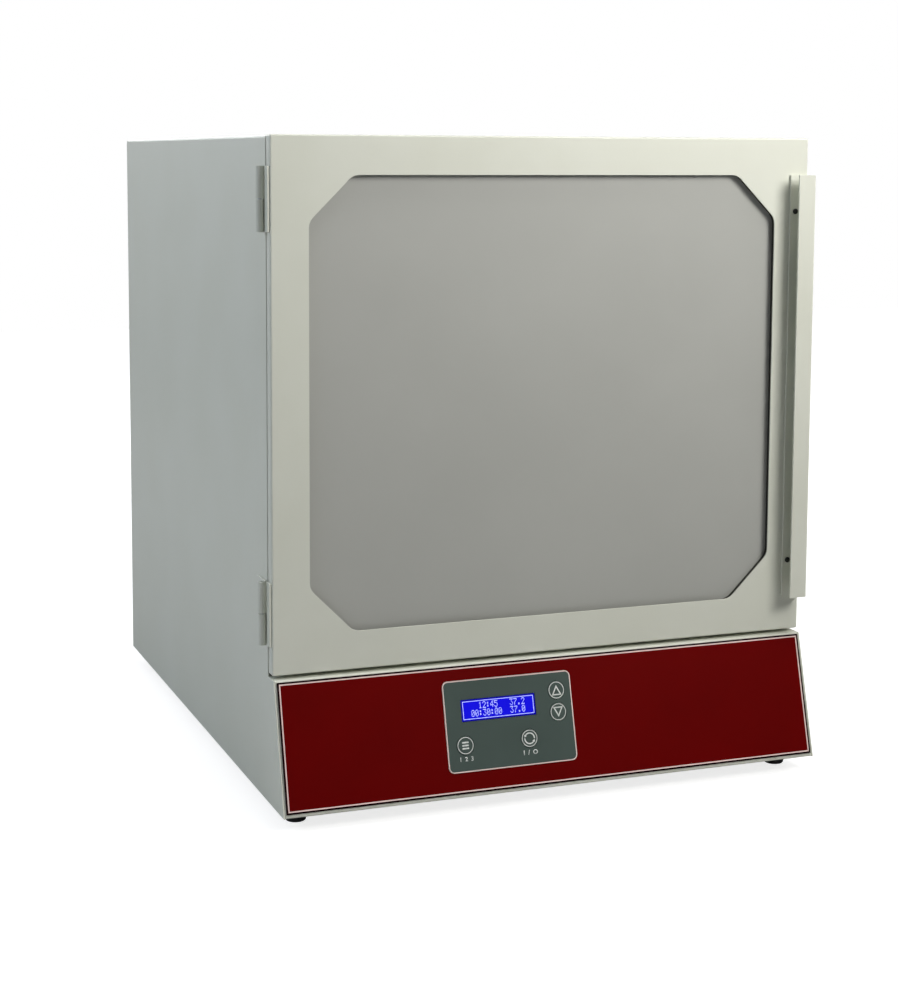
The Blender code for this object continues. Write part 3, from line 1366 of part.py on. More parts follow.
def build_door_inside(door, materials):
    """Inner panel, the insulation behind it, the gasket and the catch strikes."""
    window = window_outline()
    edge = HALF_WIDTH - DOOR_LINER_INSET
    low = DOOR_BOTTOM + DOOR_LINER_INSET
    high = CABINET_HEIGHT - DOOR_LINER_INSET
    liner = rounded(rectangle(-edge, edge, low, high), DOOR_LINER_CORNER, 3)

    bm = bmesh.new()
    filled = rectangle(-INNER_HALF, INNER_HALF, DOOR_BOTTOM + SHEET + TOUCH, PANEL_TOP)
    back = DOOR_EDGE_DEPTH - TOUCH
    holes = [grown(window, PANE_OVERLAP + 2 * TOUCH)]
    holes += [hole(HANDLE_SCREW_RADIUS + TOUCH, 12, u, v) for u, v in handle_screw_places()]
    prism(bm, FRONT, filled, SHEET + TOUCH, back, holes)
    add_part("door_insulation", bm, "glass_wool", door, materials)

    bm = bmesh.new()
    pan(bm, FRONT, liner, DOOR_LINER_SHEET, DOOR_LINER_BACK, -DOOR_LINER_SHEET,
        back + TOUCH, [grown(window, -DOOR_LINER_LIP)], DOOR_LINER_BEND, 2)
    add_part("door_inner_panel", bm, "stainless", door, materials)

    bm = bmesh.new()
    seat = DOOR_LINER_BACK + TOUCH
    face = FACE_RECESS - TOUCH
    inner, outer = GASKET_OVERHANG, GASKET_OVERHANG + GASKET_WIDTH
    shoulder = seat + (face - seat) * 0.45
    crown = face - GASKET_CROWN
    flat = GASKET_LIP + GASKET_ROUND
    section = [
        (inner, seat), (outer, seat), (outer, shoulder), (outer - GASKET_LIP, crown),
        (outer - flat, face), (inner + flat, face), (inner + GASKET_LIP, crown),
        (inner, shoulder),
    ]
    moulded_ring(bm, FRONT, chamber_outline(), section)
    add_part("door_gasket", bm, "grey_silicone", door, materials)

    bm = bmesh.new()
    half = CATCH_WIDTH / 2 - STRIKE_MARGIN
    low = min(CATCH_HEIGHTS.values()) - CATCH_LENGTH / 2 - STRIKE_END
    high = max(CATCH_HEIGHTS.values()) + CATCH_LENGTH / 2 + STRIKE_END
    outline = rectangle(CATCH_ACROSS - half, CATCH_ACROSS + half, low, high)
    prism(bm, FRONT, outline, seat, seat + STRIKE_SHEET)
    add_part("catch_strike", bm, "zinc_steel", door, materials)


def build_handle(door, materials):
    """Full-height channel pull, open towards the window, screwed on by its back flange."""
    right = HALF_WIDTH - HANDLE_FROM_EDGE
    left = right - HANDLE_WIDTH
    low = DOOR_BOTTOM + WINDOW_BORDER
    high = CABINET_HEIGHT - WINDOW_BORDER
    bm = bmesh.new()
    path = [(left, -HANDLE_PROJECTION), (right, -HANDLE_PROJECTION),
            (right, -TOUCH), (left, -TOUCH)]
    prism(bm, LEVEL, folded(path, HANDLE_SHEET, HANDLE_BEND, 4), low, high)
    handle = add_part("door_handle", bm, "putty_enamel", door, materials)
    bm = bmesh.new()
    for u, v in handle_screw_places():
        outline = hole(HANDLE_SCREW_RADIUS + TOUCH, 12, u, v)
        prism(bm, FRONT, outline, -HANDLE_SHEET - TOUCH - CUT_SPARE, CUT_SPARE)
    cut_with(handle, bm, materials)

    outward = plane((0, 0, 0), (-1, 0, 0), (0, 0, 1), (0, -1, 0))
    seat = HANDLE_SHEET + 2 * TOUCH
    for name, (u, v) in zip(("lower", "upper"), handle_screw_places()):
        bm = bmesh.new()
        screw(bm, moved(outward, -u, v), HANDLE_SCREW_RADIUS, seat, seat + HANDLE_SCREW_GRIP,
              HANDLE_SCREW_HEAD, 12)
        add_part(f"handle_screw_{name}", bm, "black_plastic", door, materials)


def build_hinge_leaf(name, side, middle, carrier, materials):
    """One hinge leaf. The door's leaf (side -1) has the upper knuckle.

    The leaf is drawn about the pin: the strap leaves the flat strip, curls round the pin
    for half of the hinge's length, and the strip alone goes on for the other half.
    """
    face = -(HINGE_STANDOFF - TOUCH - LEAF_SHEET)
    back = -(HINGE_STANDOFF - TOUCH)
    start = LEAF_CLEARANCE
    if side < 0:
        end = HINGE_AXIS.y - DOOR_LEAF_FRONT
    else:
        end = LEAF_CLEARANCE + CABINET_LEAF_WIDTH
    inner, outer = PIN_RADIUS + TOUCH, KNUCKLE_RADIUS
    steps = 11
    outside, inside = [], []
    for i in range(steps + 1):
        angle = KNUCKLE_START + KNUCKLE_SWEEP * i / steps
        outside.append((-outer * math.cos(angle), outer * math.sin(angle)))
        inside.append((-inner * math.cos(angle), inner * math.sin(angle)))
    bm = bmesh.new()

    def point(across, along, height):
        place = (HINGE_AXIS.x - across, HINGE_AXIS.y + side * along, height)
        return bm.verts.new(place)

    low, high = middle - HINGE_LENGTH / 2, middle + HINGE_LENGTH / 2
    seam = middle - side * KNUCKLE_GAP / 2
    if side > 0:
        knuckle_end, strip_start, strip_end = low, seam, high
    else:
        knuckle_end, strip_start, strip_end = high, seam, low
    strip = [(face, start), (face, end), (back, end), (back, start)]
    strap = [(face, start), *outside, *inside[::-1], (back, start)]
    sections = {}
    for height in (knuckle_end, strip_start):
        shared = [point(face, start, height), point(back, start, height)]
        far = [point(face, end, height), point(back, end, height)]
        curl = [point(a, b, height) for a, b in strap[1:-1]]
        sections[height] = (shared, far, curl)
        bm.faces.new((shared[0], far[0], far[1], shared[1]))
        bm.faces.new((shared[0], *curl, shared[1]))
    first, second = sections[knuckle_end], sections[strip_start]
    outer_loop_a = [first[0][1], first[1][1], first[1][0], first[0][0], *first[2]]
    outer_loop_b = [second[0][1], second[1][1], second[1][0], second[0][0], *second[2]]
    bridge(bm, outer_loop_a, outer_loop_b)
    strip_face = [second[0][0], second[1][0], second[1][1], second[0][1]]
    top = [point(a, b, strip_end) for a, b in strip]
    bmesh.ops.delete(bm, geom=[bm.faces.get(strip_face)], context="FACES_ONLY")
    bridge(bm, strip_face, top)
    bm.faces.new(top)
    return add_part(name, bm, "putty_enamel", carrier, materials)


def build_hinges(cabinet, door, materials):
    for place, middle in HINGE_HEIGHTS.items():
        build_hinge_leaf(f"hinge_{place}_door_leaf", -1, middle, door, materials)
        leaf = build_hinge_leaf(f"hinge_{place}_cabinet_leaf", 1, middle, cabinet, materials)
        bm = bmesh.new()
        for u, v in hinge_screw_places():
            if abs(v - middle) < HINGE_LENGTH:
                outline = hole(PIN_RADIUS + TOUCH, 12, u, v)
                prism(bm, SIDE, outline, HINGE_AXIS.x, -HALF_WIDTH + SHEET)
        cut_with(leaf, bm, materials)
        bm = bmesh.new()
        end = HINGE_LENGTH / 2 - PIN_INSET
        profile = [(PIN_RADIUS, middle - end), (PIN_RADIUS, middle + end)]
        turned(bm, moved(LEVEL, HINGE_AXIS.x, HINGE_AXIS.y), profile, 14)
        add_part(f"hinge_{place}_pin", bm, "zinc_steel", cabinet, materials)
    outward = plane((-HALF_WIDTH, 0, 0), (0, 1, 0), (0, 0, 1), (-1, 0, 0))
    seat = LEAF_SHEET + 2 * TOUCH
    for number, (u, v) in enumerate(hinge_screw_places(), start=1):
        bm = bmesh.new()
        screw(bm, moved(outward, u, v), PIN_RADIUS, seat, seat + SHEET, HINGE_SCREW_HEAD)
        add_part(f"hinge_screw_{number}", bm, "zinc_steel", cabinet, materials)


def stand_on_floor(frame):
    """Move the whole part so that its box is centred and its feet stand at height 0."""
    bpy.context.view_layer.update()
    low = Vector((math.inf,) * 3)
    high = Vector((-math.inf,) * 3)
    for part in bpy.data.objects:
        if part.type != "MESH" or part.hide_render:
            continue
        for corner in part.bound_box:
            place = part.matrix_world @ Vector(corner)
            low = Vector(map(min, low, place))
            high = Vector(map(max, high, place))
    frame.location = (-(low.x + high.x) / 2, -(low.y + high.y) / 2, -low.z)


def build():
    remove_everything()
    materials = make_materials()
    frame = make_carrier("incubator")
    cabinet = frame
    door = make_carrier("door_carrier", HINGE_AXIS, frame)
    fan = make_carrier("fan_carrier", FAN_AXIS, frame)

    build_cabinet_wrap(cabinet, materials)
    build_base_pan(cabinet, materials)
    build_rear_frame(cabinet, materials)
    build_rear_panel(cabinet, materials)
    build_face_frame(cabinet, materials)
    build_magnetic_catches(cabinet, materials)
    build_chamber_liner(cabinet, materials)
    build_insulation(cabinet, materials)
    build_deck_plate(cabinet, materials)
    build_bulkhead(cabinet, materials)
    build_feet(cabinet, materials)
    build_control_fascia(cabinet, materials)
    build_fascia_overlay(cabinet, materials)
    build_keypad_panel(cabinet, materials)
    build_display_module(cabinet, materials)
    build_control_board(cabinet, materials)
    build_power_board(cabinet, materials)
    build_power_inlet(cabinet, materials)
    build_power_switch(cabinet, frame, materials)
    build_fuse_holder(cabinet, materials)
    build_air_baffle(cabinet, materials)
    build_heater(cabinet, materials)
    build_probe_and_limit(cabinet, materials)
    shaft_room = build_fan_motor(cabinet, materials)
    build_shelf_ladders(cabinet, materials)

    build_fan(fan, shaft_room, materials)
    build_keys(frame, materials)
    for name, level in SHELF_AT_LEVEL.items():
        build_shelf(name, level, frame, materials)

    build_door_skin(door, materials)
    build_window(door, materials)
    build_door_inside(door, materials)
    build_handle(door, materials)
    build_hinges(cabinet, door, materials)
    stand_on_floor(frame)


build()
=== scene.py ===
"""Looks of the forced air incubator: its finishes, printing, small fastenings, light and camera.

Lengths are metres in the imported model's frame. What is printed on the sloped panel is laid out
in panel coordinates: u to the right of the cabinet's middle, v up the slope from its foot, and
height out from the sheet.
"""

import math

import bmesh
import bpy
from mathutils import Euler, Matrix, Vector


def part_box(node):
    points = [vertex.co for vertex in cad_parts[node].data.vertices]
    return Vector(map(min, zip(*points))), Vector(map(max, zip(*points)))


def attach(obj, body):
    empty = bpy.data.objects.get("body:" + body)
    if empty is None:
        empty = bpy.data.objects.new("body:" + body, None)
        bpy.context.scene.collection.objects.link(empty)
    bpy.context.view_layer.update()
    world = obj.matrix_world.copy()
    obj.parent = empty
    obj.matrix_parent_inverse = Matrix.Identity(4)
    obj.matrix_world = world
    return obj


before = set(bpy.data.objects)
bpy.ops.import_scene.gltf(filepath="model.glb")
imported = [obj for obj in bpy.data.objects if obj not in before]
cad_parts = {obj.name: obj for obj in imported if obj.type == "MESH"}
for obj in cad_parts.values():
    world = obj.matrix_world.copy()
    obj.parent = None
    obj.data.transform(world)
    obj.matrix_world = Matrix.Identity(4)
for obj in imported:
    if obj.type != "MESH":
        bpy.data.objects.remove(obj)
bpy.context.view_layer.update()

# The cabinet and its sloped panel, as the part's source has them
WRAP_LOW, WRAP_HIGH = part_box("cabinet_wrap")
MIDDLE = (WRAP_LOW.x + WRAP_HIGH.x) / 2
DOOR_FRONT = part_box("door_skin")[0].y
UNDERSIDE = WRAP_LOW.z
BASE_HEIGHT = 0.0992
PANEL_TOP_REACH = 0.0032
PANEL_FOOT_REACH = 0.030
SLOPE = math.atan2(PANEL_FOOT_REACH - PANEL_TOP_REACH, BASE_HEIGHT)
PANEL_FOOT = Vector((MIDDLE, DOOR_FRONT - PANEL_FOOT_REACH, UNDERSIDE))
PANEL_LENGTH = BASE_HEIGHT / math.cos(SLOPE)
PANEL_TILT = Euler((math.pi / 2 - SLOPE, 0, 0))
PANEL = Matrix.Translation(PANEL_FOOT) @ PANEL_TILT.to_matrix().to_4x4()

# The overlay's margins and the keypad's layout in panel coordinates
OVERLAY_SIDE, OVERLAY_FOOT, OVERLAY_TOP = 0.0023, 0.0032, 0.0012
OVERLAY_SIZE = (WRAP_HIGH.x - WRAP_LOW.x - 2 * OVERLAY_SIDE, PANEL_LENGTH - OVERLAY_FOOT - OVERLAY_TOP)
OVERLAY_CENTRE = (0.0, OVERLAY_FOOT + OVERLAY_SIZE[1] / 2)
KEYPAD_CENTRE = (-0.0395, 0.05485)
KEYPAD_SIZE = (0.109, 0.0705)
KEYPAD_CORNER = 0.0045
KEYPAD_FACE = 0.0013
DISPLAY_CENTRE = (-0.0483, 0.0665)
DISPLAY_SIZE = (0.0628, 0.0167)
DISPLAY_FACE = 0.0008
DISPLAY_GLASS = 0.0001
DISPLAY_FRONT = DISPLAY_FACE + DISPLAY_GLASS
KEY_FACE = 0.0016
KEY_PLACES = {
    "key_up": (0.0021, 0.0754),
    "key_down": (0.0021, 0.0583),
    "key_mode": (-0.0789, 0.0400),
    "key_start": (-0.0246, 0.0402),
}
INK = 0.00005
LETTER_WEIGHT = 0.0001
# How far the words under a key lie below its middle, and how high they stand
NUMBERS_DROP, NUMBERS_SIZE = 0.0106, 0.0046
MARKS_DROP, MARKS_SIZE = 0.0110, 0.0050

# A noise texture's values lie mostly between these two
NOISE_LOW, NOISE_HIGH = 0.3, 0.7


def colour(code):
    """The linear colour of an sRGB hex code such as DFE0D6."""
    parts = [int(code[start:start + 2], 16) / 255 for start in (0, 2, 4)]
    linear = [part / 12.92 if part <= 0.04045 else ((part + 0.055) / 1.055) ** 2.4 for part in parts]
    return (*linear, 1.0)


def per_mm(size):
    """The scale at which a texture's features are about this many millimetres apart."""
    return 1000.0 / size


def add(finish, kind, links=None, **settings):
    """Adds one node to a material or world. links gives an input a value or another node's output."""
    made = finish.node_tree.nodes.new(kind)
    for name, value in settings.items():
        setattr(made, name, value)
    for socket, source in (links or {}).items():
        if isinstance(source, bpy.types.NodeSocket):
            finish.node_tree.links.new(source, made.inputs[socket])
        else:
            made.inputs[socket].default_value = source
    return made


def new_finish(name, **sockets):
    """A material with these values on its shader, and with its place in object coordinates."""
    made = bpy.data.materials.new(name)
    made.use_nodes = True
    shader = made.node_tree.nodes["Principled BSDF"]
    for socket, value in sockets.items():
        shader.inputs[socket.replace("_", " ")].default_value = value
    return made, shader, add(made, "ShaderNodeTexCoord").outputs["Object"]


def mottle(finish, shader, place, codes, spacing, detail=3.0):
    """Colours the surface in a slow drift between two close tones."""
    drift = add(finish, "ShaderNodeTexNoise", {"Vector": place, "Scale": per_mm(spacing), "Detail": detail})
    tone = add(finish, "ShaderNodeValToRGB", {"Fac": drift.outputs["Fac"]})
    for stop, position, code in zip(tone.color_ramp.elements, (0.35, 0.65), codes):
        stop.position, stop.color = position, colour(code)
    finish.node_tree.links.new(tone.outputs["Color"], shader.inputs["Base Color"])
    return tone


def grain(finish, shader, place, spacing, height, strength=1.0):
    """Gives the surface bumps this far apart and this high, both in millimetres."""
    waves = add(finish, "ShaderNodeTexNoise", {"Vector": place, "Scale": per_mm(spacing), "Detail": 2.0})
    relief = add(
        finish,
        "ShaderNodeBump",
        {"Height": waves.outputs["Fac"], "Distance": height / 1000, "Strength": strength},
    )
    finish.node_tree.links.new(relief.outputs["Normal"], shader.inputs["Normal"])


def vary_roughness(finish, shader, place, spacing, low, high):
    """Lets the polish drift between two roughness values, as handling and cleaning leave it."""
    drift = add(finish, "ShaderNodeTexNoise", {"Vector": place, "Scale": per_mm(spacing), "Detail": 3.0})
    span = add(
        finish,
        "ShaderNodeMapRange",
        {
            "Value": drift.outputs["Fac"], "From Min": NOISE_LOW, "From Max": NOISE_HIGH,
            "To Min": low, "To Max": high,
        },
    )
    finish.node_tree.links.new(span.outputs["Result"], shader.inputs["Roughness"])


def powder_coat():
    """Putty powder coat on steel sheet: satin, with the faint orange peel of a baked film."""
    finish, shader, place = new_finish("putty_powder_coat", IOR=1.5)
    mottle(finish, shader, place, ("DCDED0", "DFE1D4"), spacing=70)
    vary_roughness(finish, shader, place, spacing=35, low=0.39, high=0.44)
    # Orange peel is about 1 mm apart, and is drawn at 2.4 mm so that it still shows
    grain(finish, shader, place, spacing=2.4, height=0.05, strength=0.5)
    return finish


def window_sheet():
    """Smoke-grey acrylic with a satin back: an even grey with a soft, broad sheen."""
    finish, shader, place = new_finish("satin_grey_acrylic", IOR=1.49)
    mottle(finish, shader, place, ("AFB0AA", "B2B3AD"), spacing=120)
    vary_roughness(finish, shader, place, spacing=60, low=0.47, high=0.51)
    grain(finish, shader, place, spacing=3.0, height=0.03, strength=0.35)
    return finish


def edge_distance(finish, place, centre, size, corner):
    """How far inside a round-cornered rectangle of the panel a point lies, in metres."""
    panel = add(
        finish,
        "ShaderNodeMapping",
        {"Vector": place, "Location": PANEL_FOOT, "Rotation": PANEL_TILT},
        vector_type="TEXTURE",
    )
    middle = Vector((*centre, 0))
    half = Vector((size[0] / 2 - corner, size[1] / 2 - corner, 1.0))
    from_middle = add(finish, "ShaderNodeVectorMath", {0: panel.outputs[0], 1: middle}, operation="SUBTRACT")
    folded = add(finish, "ShaderNodeVectorMath", {0: from_middle.outputs[0]}, operation="ABSOLUTE")
    beyond = add(finish, "ShaderNodeVectorMath", {0: folded.outputs[0], 1: half}, operation="SUBTRACT")
    outside = add(finish, "ShaderNodeVectorMath", {0: beyond.outputs[0], 1: (0, 0, 0)}, operation="MAXIMUM")
    far = add(finish, "ShaderNodeVectorMath", {0: outside.outputs[0]}, operation="LENGTH")
    axes = add(finish, "ShaderNodeSeparateXYZ", {0: beyond.outputs[0]})
    nearer = add(finish, "ShaderNodeMath", {0: axes.outputs[0], 1: axes.outputs[1]}, operation="MAXIMUM")
    within = add(finish, "ShaderNodeMath", {0: nearer.outputs[0], 1: 0.0}, operation="MINIMUM")
    total = add(finish, "ShaderNodeMath", {0: far.outputs["Value"], 1: within.outputs[0]}, operation="ADD")
    return add(finish, "ShaderNodeMath", {0: corner, 1: total.outputs[0]}, operation="SUBTRACT").outputs[0]


def printed_bands(finish, distance, bands, rest):
    """Colours bands of ink inwards from an edge; bands lists (width in metres, colour code)."""
    reach = 0.010
    share = add(finish, "ShaderNodeMapRange", {"Value": distance, "From Min": 0.0, "From Max": reach})
    ramp = add(finish, "ShaderNodeValToRGB", {"Fac": share.outputs["Result"]})
    ramp.color_ramp.interpolation = "CONSTANT"
    start = 0.0
    stops = ramp.color_ramp.elements
    stops[0].color = colour(bands[0][1])
    for (width, _), (_, code) in zip(bands, bands[1:] + [(0, rest)]):
        start += width
        stops.new(start / reach).color = colour(code)
    stops.remove(stops[-1])
    return ramp.outputs["Color"]


def printed_film(name, centre, size, corner, bands, rest, roughness):
    """Screen-printed polyester film: satin ink under a hard coat, with printed edge lines.

    The ink is up to a tenth darker where it lies thick.
    """
    finish, shader, place = new_finish(name, IOR=1.5, Roughness=roughness, Specular_IOR_Level=0.06)
    distance = edge_distance(finish, place, centre, size, corner)
    ink = printed_bands(finish, distance, bands, rest)
    drift = add(finish, "ShaderNodeTexNoise", {"Vector": place, "Scale": per_mm(45), "Detail": 3.0})
    depth = add(
        finish,
        "ShaderNodeMapRange",
        {
            "Value": drift.outputs["Fac"], "From Min": NOISE_LOW, "From Max": NOISE_HIGH,
            "To Min": 0.90, "To Max": 1.0,
        },
    )
    tone = add(finish, "ShaderNodeVectorMath", {0: ink, "Scale": depth.outputs["Result"]}, operation="SCALE")
    finish.node_tree.links.new(tone.outputs[0], shader.inputs["Base Color"])
    # The film's fine matting is about 0.3 mm apart, and is drawn at 1.5 mm so that it shows
    grain(finish, shader, place, spacing=1.5, height=0.01, strength=0.4)
    return finish


def backlit_display():
    """Blue negative display: an even backlight behind glass, darker in the last 2 mm to its rim."""
    finish, shader, place = new_finish(
        "backlit_blue_display", Roughness=0.3, Specular_IOR_Level=0.1, Emission_Strength=0.95
    )
    distance = edge_distance(finish, place, DISPLAY_CENTRE, DISPLAY_SIZE, 0.0002)
    rim = add(finish, "ShaderNodeMapRange", {"Value": distance, "From Min": 0.0, "From Max": 0.0022})
    drift = add(finish, "ShaderNodeTexNoise", {"Vector": place, "Scale": per_mm(9), "Detail": 1.0})
    glow = add(
        finish,
        "ShaderNodeMapRange",
        {
            "Value": drift.outputs["Fac"], "From Min": NOISE_LOW, "From Max": NOISE_HIGH,
            "To Min": 0.92, "To Max": 1.0,
        },
    )
    level = add(finish, "ShaderNodeMath", {0: rim.outputs[0], 1: glow.outputs[0]}, operation="MULTIPLY")
    tone = add(finish, "ShaderNodeValToRGB", {"Fac": level.outputs[0]})
    for stop, code in zip(tone.color_ramp.elements, ("050290", "0A06E6")):
        stop.color = colour(code)
    finish.node_tree.links.new(tone.outputs["Color"], shader.inputs["Emission Color"])
    shader.inputs["Base Color"].default_value = colour("05040C")
    return finish


def lit_segment():
    """Lit liquid crystal: pale blue light through the clear dots."""
    finish, shader, place = new_finish(
        "lit_display_dots", Roughness=0.3, Specular_IOR_Level=0.1, Emission_Strength=0.62
    )
    tone = mottle(finish, shader, place, ("A2ACF0", "BCC4F8"), spacing=3)
    finish.node_tree.links.new(tone.outputs["Color"], shader.inputs["Emission Color"])
    return finish


def printing_ink():
    """Silver-grey screen ink, slightly rough and uneven where it lies thin."""
    finish, shader, place = new_finish("silver_grey_ink", IOR=1.5, Roughness=0.5)
    mottle(finish, shader, place, ("D2D8D2", "ECEFEB"), spacing=2)
    grain(finish, shader, place, spacing=0.8, height=0.01, strength=0.5)
    return finish


def drawn_metal(name, codes, roughness, stretch, spacing, height):
    """Metal with parallel brushing: fine lines that widen the highlight across them."""
    finish, shader, place = new_finish(name, Metallic=1.0, Roughness=roughness)
    along = add(finish, "ShaderNodeMapping", {"Vector": place, "Scale": stretch})
    lines = add(
        finish, "ShaderNodeTexNoise", {"Vector": along.outputs[0], "Scale": per_mm(spacing), "Detail": 4.0}
    )
    tone = add(finish, "ShaderNodeValToRGB", {"Fac": lines.outputs["Fac"]})
    for stop, position, code in zip(tone.color_ramp.elements, (NOISE_LOW, NOISE_HIGH), codes):
        stop.position, stop.color = position, colour(code)
    finish.node_tree.links.new(tone.outputs["Color"], shader.inputs["Base Color"])
    span = add(
        finish,
        "ShaderNodeMapRange",
        {
            "Value": lines.outputs["Fac"], "From Min": NOISE_LOW, "From Max": NOISE_HIGH,
            "To Min": roughness - 0.06, "To Max": roughness + 0.08,
        },
    )
    finish.node_tree.links.new(span.outputs["Result"], shader.inputs["Roughness"])
    relief = add(
        finish,
        "ShaderNodeBump",
        {"Height": lines.outputs["Fac"], "Distance": height / 1000, "Strength": 0.5},
    )
    finish.node_tree.links.new(relief.outputs["Normal"], shader.inputs["Normal"])
    return finish


def galvanised():
    """Galvanised sheet: grey zinc with flat crystal spangles of slightly different shade."""
    finish, shader, place = new_finish("galvanised_sheet", Metallic=0.9)
    spangle = add(finish, "ShaderNodeTexVoronoi", {"Vector": place, "Scale": per_mm(9)})
    shade = add(finish, "ShaderNodeValToRGB", {"Fac": spangle.outputs["Color"]})
    for stop, code in zip(shade.color_ramp.elements, ("8D9294", "B4B8B8")):
        stop.color = colour(code)
    finish.node_tree.links.new(shade.outputs["Color"], shader.inputs["Base Color"])
    vary_roughness(finish, shader, place, spacing=12, low=0.38, high=0.55)
    grain(finish, shader, place, spacing=2.0, height=0.02)
    return finish


def machined(name, codes, roughness):
    """Small bright metal parts: plated or turned, with faint tool haze."""
    finish, shader, place = new_finish(name, Metallic=1.0)
    mottle(finish, shader, place, codes, spacing=6)
    vary_roughness(finish, shader, place, spacing=4, low=roughness - 0.05, high=roughness + 0.07)
    grain(finish, shader, place, spacing=0.7, height=0.006, strength=0.6)
    return finish


def moulded(name, codes, roughness, spacing, height, ior=1.5):
    """Moulded plastic or rubber: even colour with the mould's fine spark texture."""
    finish, shader, place = new_finish(name, IOR=ior)
    mottle(finish, shader, place, codes, spacing=25)
    vary_roughness(finish, shader, place, spacing=15, low=roughness - 0.05, high=roughness + 0.06)
    grain(finish, shader, place, spacing=spacing, height=height, strength=0.8)
    return finish


def glass_wool():
    """Needled glass wool: matted off-white fibres with deep, soft relief."""
    finish, shader, place = new_finish("needled_glass_wool", IOR=1.5, Roughness=0.95)
    mottle(finish, shader, place, ("C4C3B9", "D6D5CB"), spacing=6, detail=8.0)
    fibres = add(
        finish, "ShaderNodeTexNoise",
        {"Vector": place, "Scale": per_mm(1.5), "Detail": 8.0, "Distortion": 2.0},
    )
    relief = add(
        finish, "ShaderNodeBump", {"Height": fibres.outputs["Fac"], "Distance": 0.001, "Strength": 0.9}
    )
    finish.node_tree.links.new(relief.outputs["Normal"], shader.inputs["Normal"])
    return finish


def circuit_board():
    """Green solder mask over fibreglass, with paler copper runs under it."""
    finish, shader, place = new_finish("green_circuit_board", IOR=1.5, Roughness=0.35)
    runs = add(
        finish,
        "ShaderNodeTexBrick",
        {
            "Vector": place, "Scale": per_mm(40), "Color1": colour("12502F"), "Color2": colour("17603A"),
            "Mortar": colour("3C8A5A"), "Mortar Size": 0.03,
        },
    )
    finish.node_tree.links.new(runs.outputs["Color"], shader.inputs["Base Color"])
    grain(finish, shader, place, spacing=2.0, height=0.03)
    return finish


ENAMEL = powder_coat()
MAROON_FILM = printed_film(
    "maroon_printed_film", OVERLAY_CENTRE, OVERLAY_SIZE, 0.0004,
    bands=[(0.0014, "1C0306"), (0.0010, "FFE4DE")], rest="6A0000", roughness=0.36,
)
SLATE_FILM = printed_film(
    "slate_printed_film", KEYPAD_CENTRE, KEYPAD_SIZE, KEYPAD_CORNER,
    bands=[(0.0008, "FFE8E0")], rest="525F5A", roughness=0.44,
)
# Brushing is about 0.1 mm apart, and is drawn at 1.2 mm across the lines so that it shows
STAINLESS = drawn_metal(
    "brushed_stainless", ("A9ABAB", "C6C8C8"), 0.32, stretch=(0.02, 0.02, 1.0), spacing=1.2, height=0.01
)
# Zinc plating: bright, slightly blue-white screws and pins
STEEL = machined("zinc_plated_steel", ("B0B4B4", "CBCECD"), 0.34)
# Blackened steel: near black, with a soft metal sheen
BLACK_STEEL = machined("blackened_steel", ("2E2F2E", "434441"), 0.45)
# Rolled aluminium: the palest of the metals, with a clean satin shine
ALUMINIUM = machined("rolled_aluminium", ("BFC1C2", "D4D6D6"), 0.36)
# A heater tube's sheath, browned and dulled by heat
HEATER_SHEATH = machined("oxidised_heater_sheath", ("4A4744", "6A655F"), 0.48)
# The feet's rubber: flat black, with next to no shine
RUBBER = moulded("black_rubber", ("151515", "202020"), 0.72, spacing=0.9, height=0.04)
# The window's seal: a shade paler than the feet, dull
SEAL_RUBBER = moulded("dark_grey_rubber", ("2B2B26", "383831"), 0.66, spacing=0.9, height=0.03)
# The door's gasket: mid grey, with silicone's waxy gloss
SILICONE = moulded("grey_silicone", ("8B8D8C", "A0A2A0"), 0.60, spacing=0.8, height=0.02, ior=1.42)
# Moulded fittings: black with a fine satin texture
BLACK_NYLON = moulded("black_nylon", ("141415", "1D1D1E"), 0.42, spacing=0.7, height=0.03)
# The rocker: smoother than its frame, so that it reads as a piece of its own
ROCKER_PLASTIC = moulded("dark_rocker_plastic", ("1A1A1B", "242425"), 0.36, spacing=0.7, height=0.01)
# Unglazed ceramic: warm cream and matt
CERAMIC = moulded("cream_ceramic", ("D9D3C2", "E6E1D2"), 0.55, spacing=0.9, height=0.03)
BOARD = circuit_board()
WOOL = glass_wool()
ZINC = galvanised()
WINDOW = window_sheet()
DISPLAY = backlit_display()
DOTS = lit_segment()
SILVER_INK = printing_ink()

